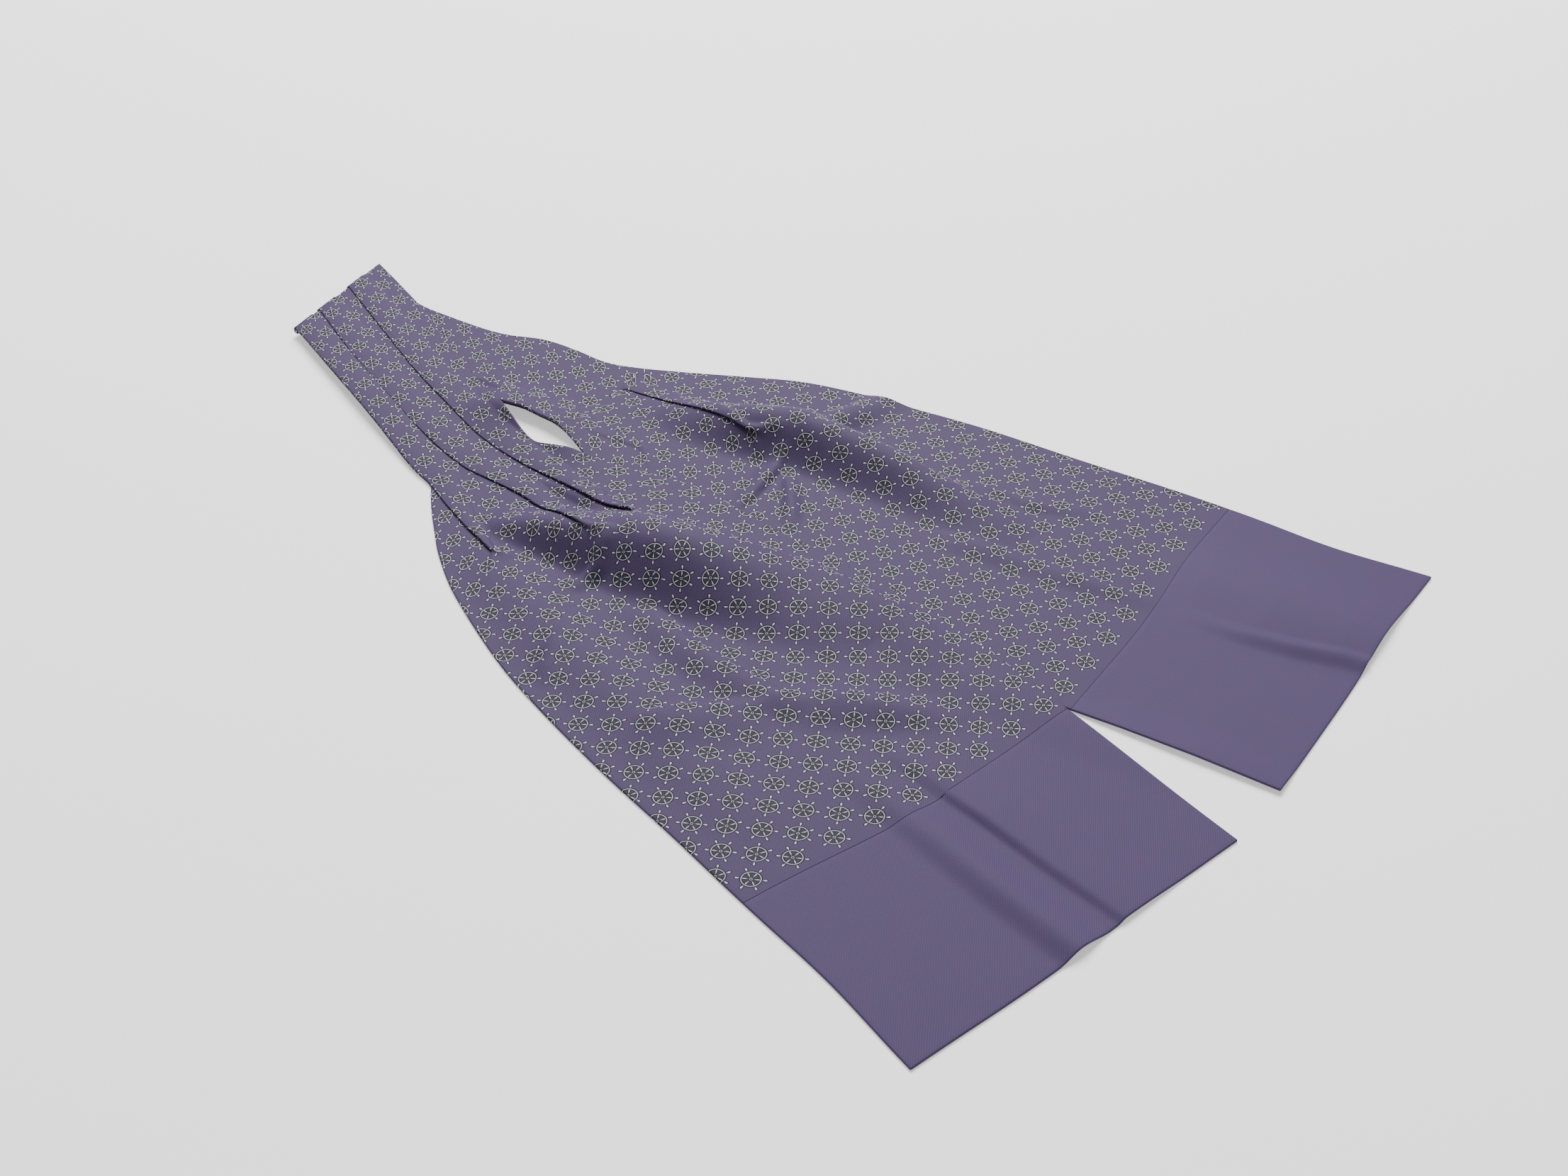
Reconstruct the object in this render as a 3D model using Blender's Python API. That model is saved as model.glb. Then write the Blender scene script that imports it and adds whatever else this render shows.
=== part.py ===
"""A day cravat: a flat tube of printed twill with a plain piece across each end and three
knife pleats along its neckband. It is folded in half at the neck and laid on a flat
surface, the front half fanned over the rear half.

Frame: +Z up, the cloth lies on z = 0. The neck is at +Y, the two hems are at -Y, and the
origin is under the middle of the whole. Tables are in millimetres.
"""

from collections import namedtuple

import bpy
import numpy as np

MM = 0.001

# ---------------------------------------------------------------- the cloth
WALL = 1.0  # a panel with its seam allowance
GAP = 0.3  # air between layers and at sewn seams
PITCH = WALL + GAP  # from one layer to the next
TURN = PITCH / 2  # radius of a layer's turn, to the middle of its wall
PANEL = PITCH / 2  # from the middle of the flat tube to the middle of a panel
TUBE = 2 * WALL + GAP  # thickness of the flat tube
RESTING = TUBE / 2  # height of the tube's middle where it lies on the surface
STACKED = TUBE + GAP  # what one tube adds to the height of the one that lies on it
PLEAT_RISE = 2 * PITCH  # a knife pleat adds two layers
PLEAT_SLOPE = 5.0  # the width over which a pleat's top layer comes down again
SPREAD = 0.38  # how far an opened pleat's points spread towards the next fold
PAST_ENDS = 1.05
SHORT_STEP = 0.5
EVENED = 5  # over how many points to each side a wall's direction down the tube is averaged

# ---------------------------------------------------------------- the outlines
# Each row is a line across the tube, from its left edge to its right edge, seen from above.
Across = namedtuple("Across", "left_x left_y right_x right_y")

FRONT_HALF = (
    Across(-42.4, 263.4, 28.6, 285.7),  # the turn at the neck
    Across(-45.4, 248.0, 22.6, 258.0),
    Across(-51.5, 223.5, 14.5, 228.0),
    Across(-60.0, 189.0, 0.5, 188.0),
    Across(-67.8, 157.5, -10.0, 150.0),
    Across(-75.6, 126.0, -18.0, 121.0),
    Across(-78.2, 109.0, -22.4, 101.0),  # the end of the neckband's stitching
    Across(-83.0, 102.0, -20.8, 92.0),
    Across(-90.5, 92.0, -16.5, 80.0),
    Across(-100.0, 78.0, -12.5, 63.0),
    Across(-109.5, 63.0, -6.0, 45.0),
    Across(-122.0, 37.0, 3.0, 17.5),
    Across(-137.0, -8.0, 5.0, -30.0),
    Across(-145.0, -44.0, 7.0, -67.0),
    Across(-152.3, -90.0, 8.5, -114.0),
    Across(-157.5, -134.0, 5.0, -158.5),
    Across(-163.4, -175.5, -1.1, -200.0),  # the seam of the plain end
)
FRONT_END = (
    Across(-163.4, -175.5, -1.1, -200.0),
    Across(-177.7, -266.8, -14.5, -289.2),  # the hem
)
REAR_HALF = (
    Across(-42.4, 263.4, 28.6, 285.7),  # the turn at the neck
    Across(-39.0, 236.0, 20.5, 248.0),
    Across(-34.0, 208.0, 24.0, 219.0),
    Across(-27.0, 180.0, 31.0, 188.0),
    Across(-20.0, 156.0, 42.5, 166.0),
    Across(-14.8, 137.0, 47.0, 147.0),
    Across(-11.0, 119.0, 49.5, 127.5),
    Across(-9.2, 99.5, 56.5, 112.0),  # the end of the neckband's stitching
    Across(-11.6, 81.0, 70.5, 90.5),
    Across(-19.5, 57.0, 88.5, 65.0),
    Across(-29.0, 32.0, 104.5, 41.0),
    Across(-36.5, 1.0, 116.0, 13.0),
    Across(-33.0, -30.0, 124.0, -14.0),
    Across(-24.5, -72.0, 134.5, -52.0),
    Across(-14.0, -125.0, 144.5, -101.0),
    Across(-5.5, -168.0, 153.5, -141.5),
    Across(0.8, -200.7, 159.7, -173.5),  # the seam of the plain end
)
REAR_END = (
    Across(0.8, -200.7, 159.7, -173.5),
    Across(17.9, -287.4, 178.2, -265.2),  # the hem
)

# ---------------------------------------------------------------- the pleats
# A pleat's visible fold is a line seen from above. Its depth is what lies hidden under the
# fold, and it opens from 0, folded, to 1, gone. OVER_LEFT pleats lap over the cloth to
# their left, and OVER_RIGHT pleats over the cloth to their right. Where a pleat begins at
# the neck and ends at the plain end is a share of the way across from the left edge.
OVER_LEFT, OVER_RIGHT = 1, -1
Point = namedtuple("Point", "x y")
State = namedtuple("State", "y depth opened")
Pleat = namedtuple("Pleat", "lap begins ends fold states")

FRONT_PLEATS = (
    Pleat(
        OVER_LEFT,
        0,
        0.25,
        (
            Point(-51.5, 223.5),
            Point(-67.8, 157.5),
            Point(-75.6, 126.0),
            Point(-78.2, 109.0),
            Point(-80.5, 100.6),
            Point(-86.6, 82.3),
            Point(-90.3, 71.4),
            Point(-91.5, 60.5),
            Point(-93.1, 46.0),
            Point(-94.0, 30.0),
        ),
        (State(110, 9.5, 0), State(94, 5, 0), State(80, 0, 0), State(24, 0, 1)),
    ),
    Pleat(
        OVER_LEFT,
        0.27,
        0.48,
        (
            Point(-33.5, 223.5),
            Point(-46.8, 171.8),
            Point(-55.8, 133.4),
            Point(-61.6, 105.0),
            Point(-60.6, 84.0),
            Point(-57.4, 66.5),
            Point(-57.7, 46.3),
            Point(-58.7, 22.0),
            Point(-58.7, 4.0),
        ),
        (State(110, 9.5, 0), State(78, 5, 0), State(60, 0, 0), State(0, 0, 1)),
    ),
    Pleat(
        OVER_LEFT,
        0.62,
        0.86,
        (
            Point(-16.2, 211.0),
            Point(-24.2, 181.4),
            Point(-31.5, 149.4),
            Point(-38.5, 121.4),
            Point(-40.8, 100.3),
            Point(-41.2, 83.5),
            Point(-40.0, 66.2),
            Point(-38.9, 48.9),
            Point(-37.4, 25.8),
            Point(-36.5, 8.0),
            Point(-33.0, -15.0),
            Point(-22.0, -31.0),
            Point(-11.0, -50.0),
            Point(-6.0, -80.0),
            Point(-7.0, -110.0),
            Point(-12.0, -150.0),
        ),
        (State(110, 9.5, 0), State(78, 5, 0), State(60, 0, 0), State(0, 0, 1)),
    ),
)
REAR_PLEATS = (
    Pleat(
        OVER_RIGHT,
        0.35,
        0.3,
        (
            Point(-6.5, 172.0),
            Point(-2.0, 155.0),
            Point(3.0, 137.0),
            Point(6.3, 121.0),
            Point(8.8, 103.9),
            Point(9.8, 88.0),
            Point(10.6, 70.0),
            Point(9.6, 52.0),
            Point(8.6, 34.0),
        ),
        (
            State(176, 0, 1),
            State(146, 0, 0),
            State(126, 5, 0),
            State(88, 6, 0),
            State(72, 0, 0),
            State(36, 0, 1),
        ),
    ),
    Pleat(
        OVER_LEFT,
        0.75,
        0.52,
        (
            Point(10.0, 232.0),
            Point(13.3, 212.3),
            Point(16.3, 190.8),
            Point(19.0, 169.9),
            Point(22.7, 151.2),
            Point(25.6, 132.6),
            Point(31.5, 106.3),
            Point(40.5, 76.9),
            Point(45.1, 55.6),
            Point(46.6, 39.0),
            Point(48.9, 22.0),
            Point(54.0, 2.0),
            Point(62.0, -20.0),
            Point(66.0, -50.0),
            Point(70.0, -95.0),
        ),
        (
            State(256, 0, 1),
            State(206, 0, 0),
            State(180, 3, 0),
            State(130, 8, 0),
            State(84, 6, 0),
            State(64, 0, 0),
            State(-4, 0, 1),
        ),
    ),
)

# ---------------------------------------------------------------- the folds of the laid cloth
# Crest lines seen from above, with the height there, and how far the fold reaches on its
# left and its right side, seen from above with the neck at the top.
Crest = namedtuple("Crest", "x y height left right")

FRONT_FACE_FOLDS = (
    (  # runs out of the middle pleat, steep towards the left, and dies out along the right edge
        Crest(-62, 86, 0, 14, 12),
        Crest(-61, 66, 4, 15, 14),
        Crest(-60, 46, 8, 16, 16),
        Crest(-58, 26, 10, 17, 18),
        Crest(-54, 10, 12, 18, 20),
        Crest(-46, -3, 14, 18, 20),
        Crest(-36, -15, 16, 22, 20),
        Crest(-24, -26, 16, 30, 18),
        Crest(-14, -39, 14, 40, 16),
        Crest(-7, -54, 12, 46, 14),
        Crest(-3, -70, 10, 46, 12),
        Crest(-3, -87, 8, 44, 12),
        Crest(-4, -107, 6, 38, 12),
        Crest(-6, -128, 4, 30, 12),
        Crest(-9, -152, 0, 24, 12),
    ),
    (  # lifts the end of the right pleat
        Crest(-41, 86, 0, 6, 12),
        Crest(-39, 62, 2.5, 6, 13),
        Crest(-38, 40, 4, 7, 14),
        Crest(-37, 24, 3.5, 7, 14),
        Crest(-35, 8, 0, 6, 12),
    ),
    (  # the left side stands up a little from its edge
        Crest(-86, 78, 0, 14, 16),
        Crest(-104, 36, 4, 18, 24),
        Crest(-117, -12, 5, 20, 30),
        Crest(-126, -68, 4.5, 20, 30),
        Crest(-132, -118, 3, 18, 28),
        Crest(-138, -160, 0, 16, 24),
    ),
)
FRONT_TUBE_FOLDS = (
    (  # reaches the hem of the plain end
        Crest(-75, -156, 0, 12, 10),
        Crest(-76, -176, 1.5, 12, 10),
        Crest(-80, -216, 4, 12, 11),
        Crest(-87, -256, 5, 12, 12),
        Crest(-95, -292, 5.5, 12, 13),
    ),
)
REAR_BACK_FOLDS = (
    (  # runs out of the right pleat along the blade, steep towards the left
        Crest(33, 104, 0, 10, 14),
        Crest(42, 78, 4, 12, 20),
        Crest(48, 53, 8, 14, 24),
        Crest(58, 33, 11, 16, 26),
        Crest(69, 18, 12, 18, 28),
        Crest(78, 4, 12, 20, 28),
        Crest(83, -12, 11, 24, 28),
        Crest(86, -31, 9, 28, 28),
        Crest(87, -50, 7.5, 32, 28),
        Crest(86, -70, 6, 32, 28),
        Crest(85, -92, 4, 30, 28),
        Crest(85, -120, 0, 26, 26),
    ),
    (  # a low arm of it that reaches the right edge
        Crest(76, 10, 0, 8, 8),
        Crest(90, 8, 3, 9, 9),
        Crest(104, 9, 3, 9, 9),
        Crest(118, 11, 1.5, 9, 9),
    ),
)
REAR_TUBE_FOLDS = (
    (  # the left edge of the neckband stands up beside the front half
        Crest(-17, 152, 0, 18, 26),
        Crest(-14, 136, 2.2, 18, 26),
        Crest(-10.5, 119, 3.5, 18, 26),
        Crest(-9, 101, 3.5, 18, 26),
        Crest(-11, 82, 1.8, 18, 26),
        Crest(-15, 68, 0.6, 18, 26),
        Crest(-21, 52, 0, 18, 26),
    ),
    (  # reaches the hem of the plain end
        Crest(78, -166, 0, 13, 12),
        Crest(82, -190, 1.5, 13, 12),
        Crest(89, -226, 3, 13, 12),
        Crest(97, -262, 3.5, 13, 12),
        Crest(102, -290, 3.5, 13, 12),
    ),
)
BACK_SHARE = 0.75  # how much of a fold of the whole tube its underside takes up

# ---------------------------------------------------------------- the turn at the neck
NECK_REAR = RESTING + PLEAT_RISE  # the rear tube's middle there, over the pleats' underside
NECK_FRONT = NECK_REAR + STACKED
NECK_DROP = 50.0  # how far from the turn the rear half has come down to the surface
BAND_DOWN, BAND_UP = 98.0, 186.0  # y where the front neckband lies flat, and where it is held up
EDGE_REACH, EDGE_RAMP = 3.0, 25.0  # where the front half comes down beside the rear half

# ---------------------------------------------------------------- how finely each piece is made
TURN_ANGLES = np.radians((-90, -30, 30, 90))
FRONT_STRIPS = (4, 3, 3, 4)  # points between the edges and the pleats
REAR_STRIPS = (4, 3, 6)
NECK_ANGLES = np.radians((180, 150, 120, 90, 60, 30))
FRONT_ROWS = (0, 1, 2, 3, 3.5, 4, 4.5, 5, 5.5, 6, 6.35, 6.7, 7, 7.3, 7.6, 7.9, 8.2, 8.5, 8.8, 9.1,
              9.4, 9.7, 10, 10.3, 10.6, 10.8, 11, 11.2, 11.4, 11.7, 12, 12.4, 12.8, 13.3, 13.8, 14.4,
              15, 15.5, 16)
REAR_ROWS = (0, 0.5, 1, 1.4, 1.7, 2, 2.4, 2.8, 3.2, 3.6, 4, 4.3, 4.6, 4.9, 5.2, 5.5, 6, 6.5, 7,
             7.4, 7.8, 8.1, 8.4, 8.7, 9, 9.3, 9.6, 10, 10.4, 10.8, 11.2, 11.6, 12, 12.7, 13.5, 14.3,
             15, 15.5, 16)
BACK_COLUMNS = 16
REAR_FACE_COLUMNS = 12
END_ROWS, END_COLUMNS = 5, 18

# ---------------------------------------------------------------- the colours
TWILL_PURPLE = (0.115, 0.088, 0.215, 1)
PLAIN_PURPLE = (0.105, 0.080, 0.210, 1)
TWILL_ROUGHNESS = 0.62


def smoothstep(value):
    value = np.clip(value, 0, 1)
    return value * value * (3 - 2 * value)


def read_rows(table, at):
    """A smooth curve through a table's rows, read at places counted in rows."""
    rows = np.asarray(table, float)
    at = np.clip(np.asarray(at, float), 0, len(rows) - 1)
    first = np.minimum(at.astype(int), len(rows) - 2)
    u = (at - first)[:, None]
    a = rows[np.maximum(first - 1, 0)]
    b = rows[first]
    c = rows[first + 1]
    d = rows[np.minimum(first + 2, len(rows) - 1)]
    return 0.5 * (2 * b + (c - a) * u + (2 * a - 5 * b + 4 * c - d) * u**2 + (3 * b - a - 3 * c + d) * u**3)


def fold_height(points, crests):
    """How high one fold of the laid cloth stands over each point."""
    crests = np.asarray(crests, float)
    nearest = np.full(len(points), np.inf)
    height = np.zeros(len(points))
    for start, end in zip(crests[:-1], crests[1:]):
        run = end[:2] - start[:2]
        along = np.clip((points - start[:2]) @ run / (run @ run), 0, 1)
        away = points - start[:2] - along[:, None] * run
        distance = np.hypot(away[:, 0], away[:, 1])
        here = start + along[:, None] * (end - start)
        is_left = run[0] * away[:, 1] - run[1] * away[:, 0] < 0
        reach = np.where(is_left, here[:, 3], here[:, 4])
        rise = here[:, 2] * (1 + np.cos(np.pi * np.clip(distance / reach, 0, 1))) / 2
        height = np.where(distance < nearest, rise, height)
        nearest = np.minimum(distance, nearest)
    return height


def fold_heights(points, folds):
    return sum(fold_height(points, crests) for crests in folds)


def outline(rows):
    """The closed outline of one half, down its left edge and up its right edge."""
    across = read_rows(rows, np.arange(0, len(rows) - 0.9, 0.5))
    return np.vstack([across[:, :2], across[::-1, 2:]])


REAR_OUTLINE = np.vstack([outline(REAR_HALF)[: 2 * len(REAR_HALF) - 1], [REAR_END[1][:2]],
                          [REAR_END[1][2:]], outline(REAR_HALF)[2 * len(REAR_HALF) - 1 :]])


def depth_inside(points, polygon):
    """The distance to a closed outline, positive inside it."""
    distance = np.full(len(points), np.inf)
    inside = np.zeros(len(points), bool)
    for start, end in zip(polygon, np.roll(polygon, -1, axis=0)):
        run = end - start
        along = np.clip((points - start) @ run / max(run @ run, 1e-9), 0, 1)
        away = points - start - along[:, None] * run
        distance = np.minimum(distance, np.hypot(away[:, 0], away[:, 1]))
        crosses = (start[1] > points[:, 1]) != (end[1] > points[:, 1])
        level = (points[:, 1] - start[1]) / np.where(run[1] == 0, 1, run[1])
        inside ^= crosses & (points[:, 0] < start[0] + level * run[0])
    return np.where(inside, distance, -distance)


NECK_LEFT = np.array(FRONT_HALF[0][:2])
NECK_RIGHT = np.array(FRONT_HALF[0][2:])
NECK_AXIS = (NECK_RIGHT - NECK_LEFT) / np.linalg.norm(NECK_RIGHT - NECK_LEFT)
NECK_OUT = np.array([-NECK_AXIS[1], NECK_AXIS[0]])  # away from the hems


def rear_tube(points):
    """The height of the middle of the rear half, without the folds of its visible side."""
    from_neck = -(points - NECK_LEFT) @ NECK_OUT
    neck = PLEAT_RISE * (1 - smoothstep(from_neck / NECK_DROP))
    return RESTING + neck


def rear_under(points):
    return rear_tube(points) + BACK_SHARE * fold_heights(points, REAR_TUBE_FOLDS)


def rear_top(points):
    return rear_tube(points) + fold_heights(points, REAR_TUBE_FOLDS + REAR_BACK_FOLDS)


def front_tube(points):
    """The height of the middle of the front half, which lies over the rear half."""
    on_rear = smoothstep(1 + (depth_inside(points, REAR_OUTLINE) + EDGE_REACH) / EDGE_RAMP)
    edge_lift = fold_heights(points, REAR_TUBE_FOLDS[:1])
    over = on_rear * (STACKED + rear_tube(points) - RESTING + edge_lift)
    held = (NECK_FRONT - RESTING) * smoothstep((points[:, 1] - BAND_DOWN) / (BAND_UP - BAND_DOWN))
    return RESTING + np.maximum(over, held)


def front_under(points):
    return front_tube(points) + BACK_SHARE * fold_heights(points, FRONT_TUBE_FOLDS)


def front_top(points):
    return front_tube(points) + fold_heights(points, FRONT_TUBE_FOLDS + FRONT_FACE_FOLDS)


def raised(points, height_of, offset):
    """Points on a laid surface, moved out along its normal."""
    step = 0.5
    slope_x = (height_of(points + (step, 0)) - height_of(points - (step, 0))) / (2 * step)
    slope_y = (height_of(points + (0, step)) - height_of(points - (0, step))) / (2 * step)
    normal = np.stack([-slope_x, -slope_y, np.ones(len(points))], axis=1)
    normal /= np.linalg.norm(normal, axis=1)[:, None]
    return np.column_stack([points, height_of(points)]) + normal * np.reshape(offset, (-1, 1))


def fold_curve(pleat, table):
    """A pleat's fold from the neck to the plain end, and a little past both."""
    first, last = np.asarray(table[0], float), np.asarray(table[-1], float)
    begin = first[:2] + pleat.begins * (first[2:] - first[:2])
    end = last[:2] + pleat.ends * (last[2:] - last[:2])
    middle = read_rows(pleat.fold, np.arange(0, len(pleat.fold) - 0.9, 0.25))
    begin = middle[0] + PAST_ENDS * (begin - middle[0])
    end = middle[-1] + PAST_ENDS * (end - middle[-1])
    return np.vstack([begin, middle, end])


def crossing(curve, left, right):
    """The y at which a fold meets one line across the tube, and its distance from the left."""
    across = right - left
    side = across[0] * (curve[:, 1] - left[1]) - across[1] * (curve[:, 0] - left[0])
    i = np.nonzero(side[:-1] * side[1:] <= 0)[0][0]
    share = side[i] / (side[i] - side[i + 1])
    meet = curve[i] + share * (curve[i + 1] - curve[i])
    return meet[1], (meet - left) @ across / np.linalg.norm(across)


def pleat_section(at, depth, opened, spread, lap):
    """The places and the levels of one pleat's layers, from left to right."""
    turn = at + TURN + WALL / 2
    across = np.concatenate([
        turn + depth + TURN * np.cos(TURN_ANGLES),
        turn - TURN * np.cos(TURN_ANGLES),
        turn + depth + TURN + PLEAT_SLOPE * np.array([0.1, 0.6, 1]),
    ])
    level = np.concatenate([
        TURN + TURN * np.sin(TURN_ANGLES),
        PITCH + TURN + TURN * np.sin(TURN_ANGLES),
        PLEAT_RISE * np.array([1, 0.35, 0]),
    ])
    flat = np.linspace(at - spread, at + spread, len(across))
    across = across + min(2 * opened, 1) ** 2 * (flat - across)
    level = level * (1 - smoothstep((opened - 0.25) / 0.6))
    if lap == OVER_RIGHT:
        return 2 * at - across[::-1], level[::-1]
    return across, level


def pleated_section(table, left, right, pleats, strips):
    """One line across a pleated panel: places across it and levels over it."""
    width = np.linalg.norm(right - left)
    folds = [crossing(fold_curve(pleat, table), left, right) for pleat in pleats]
    stops = [0, *(at for _, at in folds), width]
    across, level = [], []
    for number, (pleat, (y, at)) in enumerate(zip(pleats, folds)):
        rows = np.array(sorted(pleat.states))
        depth = np.interp(y, rows[:, 0], rows[:, 1])
        opened = np.interp(y, rows[:, 0], rows[:, 2])
        spread = SPREAD * min(at - stops[number], stops[number + 2] - at)
        points, levels = pleat_section(at, depth, opened, max(spread, 1), pleat.lap)
        across.append(points)
        level.append(levels)
    places = [np.array([0.0]), *across, np.array([width])]
    levels = [np.array([0.0]), *level, np.array([0.0])]
    joined_places, joined_levels = [places[0]], [levels[0]]
    for number, count in enumerate(strips):
        share = np.arange(1, count + 1) / (count + 1)
        start, end = joined_places[-1][-1], places[number + 1][0]
        joined_places += [start + share * (end - start), places[number + 1]]
        joined_levels += [np.zeros(count), levels[number + 1]]
    return np.concatenate(joined_places), np.concatenate(joined_levels)


def plain_section(left, right, columns):
    return np.linspace(0, np.linalg.norm(right - left), columns), np.zeros(columns)


def on_line(left, right, across):
    return left + np.outer(across / np.linalg.norm(right - left), right - left)


def trimmed(rows, table, start_gap, end_gap):
    """The rows of a piece, shortened at its ends by the gaps to its neighbours."""
    rows = np.array(rows, float)
    first = np.linalg.norm(np.subtract(table[1], table[0])[:2])
    last = np.linalg.norm(np.subtract(table[-1], table[-2])[:2])
    rows[0] += start_gap / first
    rows[-1] -= end_gap / last
    return rows


def laid(table, rows, section, height_of, side):
    """The middle of a panel's wall over a half of the tube, a row for each line across."""
    grid = []
    for line in read_rows(table, rows):
        left, right = line[:2], line[2:]
        across, level = section(left, right)
        grid.append(raised(on_line(left, right, across), height_of, side * PANEL + level))
    return np.array(grid)


def neck_turn(section, side):
    """The middle of a panel's wall round the turn at the neck, from below to the top."""
    across, level = section(NECK_LEFT, NECK_RIGHT)
    base = on_line(NECK_LEFT, NECK_RIGHT, across)
    middle = (NECK_REAR + NECK_FRONT) / 2
    reach = (NECK_FRONT - NECK_REAR) / 2 + side * PANEL + level
    rows = []
    for angle in NECK_ANGLES:
        plan = base + np.outer(reach * np.sin(angle), NECK_OUT)
        rows.append(np.column_stack([plan, middle + reach * np.cos(angle)]))
    return np.array(rows)


def evened(values):
    """Each value averaged with its neighbours in the row, as many to the left as to the right."""
    padded = np.pad(values, ((0, 0), (EVENED, EVENED), (0, 0)), "edge")
    width = values.shape[1]
    return sum(padded[:, start : start + width] for start in range(2 * EVENED + 1))


def directions(grid, axis):
    """The direction of a grid's lines at each point, with less weight to its shortest steps."""
    steps = np.diff(grid, axis=axis)
    steps /= np.maximum(np.linalg.norm(steps, axis=2), SHORT_STEP)[:, :, None]
    first = np.take(steps, [0], axis=axis)
    last = np.take(steps, [-1], axis=axis)
    return np.concatenate([first, steps], axis=axis) + np.concatenate([steps, last], axis=axis)


def add_wall(name, middle, colour):
    """A closed wall of cloth round the middle surface that a grid of points gives."""
    rows, columns = middle.shape[:2]
    normal = np.cross(evened(directions(middle, 0)), directions(middle, 1))
    normal /= np.linalg.norm(normal, axis=2)[:, :, None]
    outer = (middle + normal * WALL / 2).reshape(-1, 3)
    inner = (middle - normal * WALL / 2).reshape(-1, 3)
    count = rows * columns

    def corner(row, column):
        return row * columns + column

    faces = []
    for row in range(rows - 1):
        for column in range(columns - 1):
            a, b = corner(row, column), corner(row + 1, column)
            c, d = corner(row + 1, column + 1), corner(row, column + 1)
            faces += [(a, b, c), (a, c, d), (count + a, count + c, count + b),
                      (count + a, count + d, count + c)]
    rim = [corner(row, 0) for row in range(rows)]
    rim += [corner(rows - 1, column) for column in range(1, columns)]
    rim += [corner(row, columns - 1) for row in range(rows - 2, -1, -1)]
    rim += [corner(0, column) for column in range(columns - 2, 0, -1)]
    for first, second in zip(rim, rim[1:] + rim[:1]):
        faces.append((second, first, count + first, count + second))

    mesh = bpy.data.meshes.new(name)
    mesh.from_pydata((np.vstack([outer, inner]) * MM).tolist(), [], faces)
    mesh.validate()
    mesh.shade_smooth()
    mesh.set_sharp_from_angle(angle=np.radians(40))
    cloth = bpy.data.objects.new(name, mesh)
    cravat.objects.link(cloth)
    material = bpy.data.materials.new(name)
    material.use_nodes = True
    shader = material.node_tree.nodes["Principled BSDF"]
    shader.inputs["Base Color"].default_value = colour
    shader.inputs["Roughness"].default_value = TWILL_ROUGHNESS
    shader.inputs["Metallic"].default_value = 0
    mesh.materials.append(material)
    return cloth


for old in list(bpy.data.objects):
    bpy.data.objects.remove(old)
cravat = bpy.data.collections.new("day_cravat")
bpy.context.scene.collection.children.link(cravat)


def front_pleats(left, right):
    return pleated_section(FRONT_HALF, left, right, FRONT_PLEATS, FRONT_STRIPS)


def rear_pleats(left, right):
    return pleated_section(REAR_HALF, left, right, REAR_PLEATS, REAR_STRIPS)


def plain(columns):
    return lambda left, right: plain_section(left, right, columns)


SEAM = GAP / 2
UP, DOWN = 1, -1

rows = trimmed(FRONT_ROWS, FRONT_HALF, 0, SEAM)
face = laid(FRONT_HALF, rows, front_pleats, front_top, UP)
add_wall("front_face", np.concatenate([neck_turn(front_pleats, UP), face]), TWILL_PURPLE)

back = laid(FRONT_HALF, rows, plain(BACK_COLUMNS), front_under, DOWN)
add_wall("front_back", np.concatenate([neck_turn(plain(BACK_COLUMNS), DOWN), back]), TWILL_PURPLE)

rows = trimmed(REAR_ROWS, REAR_HALF, GAP, SEAM)
add_wall("rear_back", laid(REAR_HALF, rows, rear_pleats, rear_top, UP), TWILL_PURPLE)

add_wall("rear_face", laid(REAR_HALF, rows, plain(REAR_FACE_COLUMNS), rear_under, DOWN), TWILL_PURPLE)

for name, table, top, under in (("front", FRONT_END, front_top, front_under),
                                ("rear", REAR_END, rear_top, rear_under)):
    rows = trimmed(np.linspace(0, 1, END_ROWS), table, SEAM, 0)
    upper, lower = ("face", "back") if name == "front" else ("back", "face")
    ends = ((upper, top, UP), (lower, under, DOWN))
    for side_name, height_of, side in ends:
        grid = laid(table, rows, plain(END_COLUMNS), height_of, side)
        add_wall(f"{name}_end_{side_name}", grid, PLAIN_PURPLE)
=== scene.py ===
"""A day cravat: a flat tube of printed twill with plain ends and three knife pleats, folded
in half at the neck and laid on a pale surface.

Tables are in millimetres, seen from above, with the neck at +Y and the hems at -Y.
"""

from collections import namedtuple

import bpy
import numpy as np
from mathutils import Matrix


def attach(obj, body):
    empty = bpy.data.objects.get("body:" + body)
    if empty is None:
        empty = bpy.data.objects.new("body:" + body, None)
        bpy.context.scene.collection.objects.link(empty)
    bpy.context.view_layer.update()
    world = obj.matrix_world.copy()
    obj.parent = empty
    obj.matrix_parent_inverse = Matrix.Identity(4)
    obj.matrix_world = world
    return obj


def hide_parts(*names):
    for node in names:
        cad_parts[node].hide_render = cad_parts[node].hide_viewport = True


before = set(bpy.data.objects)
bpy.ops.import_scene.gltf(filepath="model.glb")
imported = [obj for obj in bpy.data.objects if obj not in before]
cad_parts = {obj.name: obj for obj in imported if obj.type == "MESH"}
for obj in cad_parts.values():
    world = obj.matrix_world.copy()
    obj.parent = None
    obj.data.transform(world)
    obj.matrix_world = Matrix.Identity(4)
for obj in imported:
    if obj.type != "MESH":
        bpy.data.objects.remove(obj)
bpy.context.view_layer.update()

# ================================================================ the rear half's face panel
# A strip of printed twill, cut on the bias. It lies on the surface, under the panel that is
# sewn to it along both sides, and hardly shows.
MM = 0.001
WALL = 0.28
PANEL = 0.5  # from the middle of the flat tube to the middle of a panel
RESTING = PANEL + WALL / 2  # height of the tube's middle where it lies on the surface
BESIDE_EDGE = 0.95  # how far inside the rolled edge the lower panel ends
HELD_REAR = 2.4  # how high the turn at the neck holds up the rear half
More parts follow.
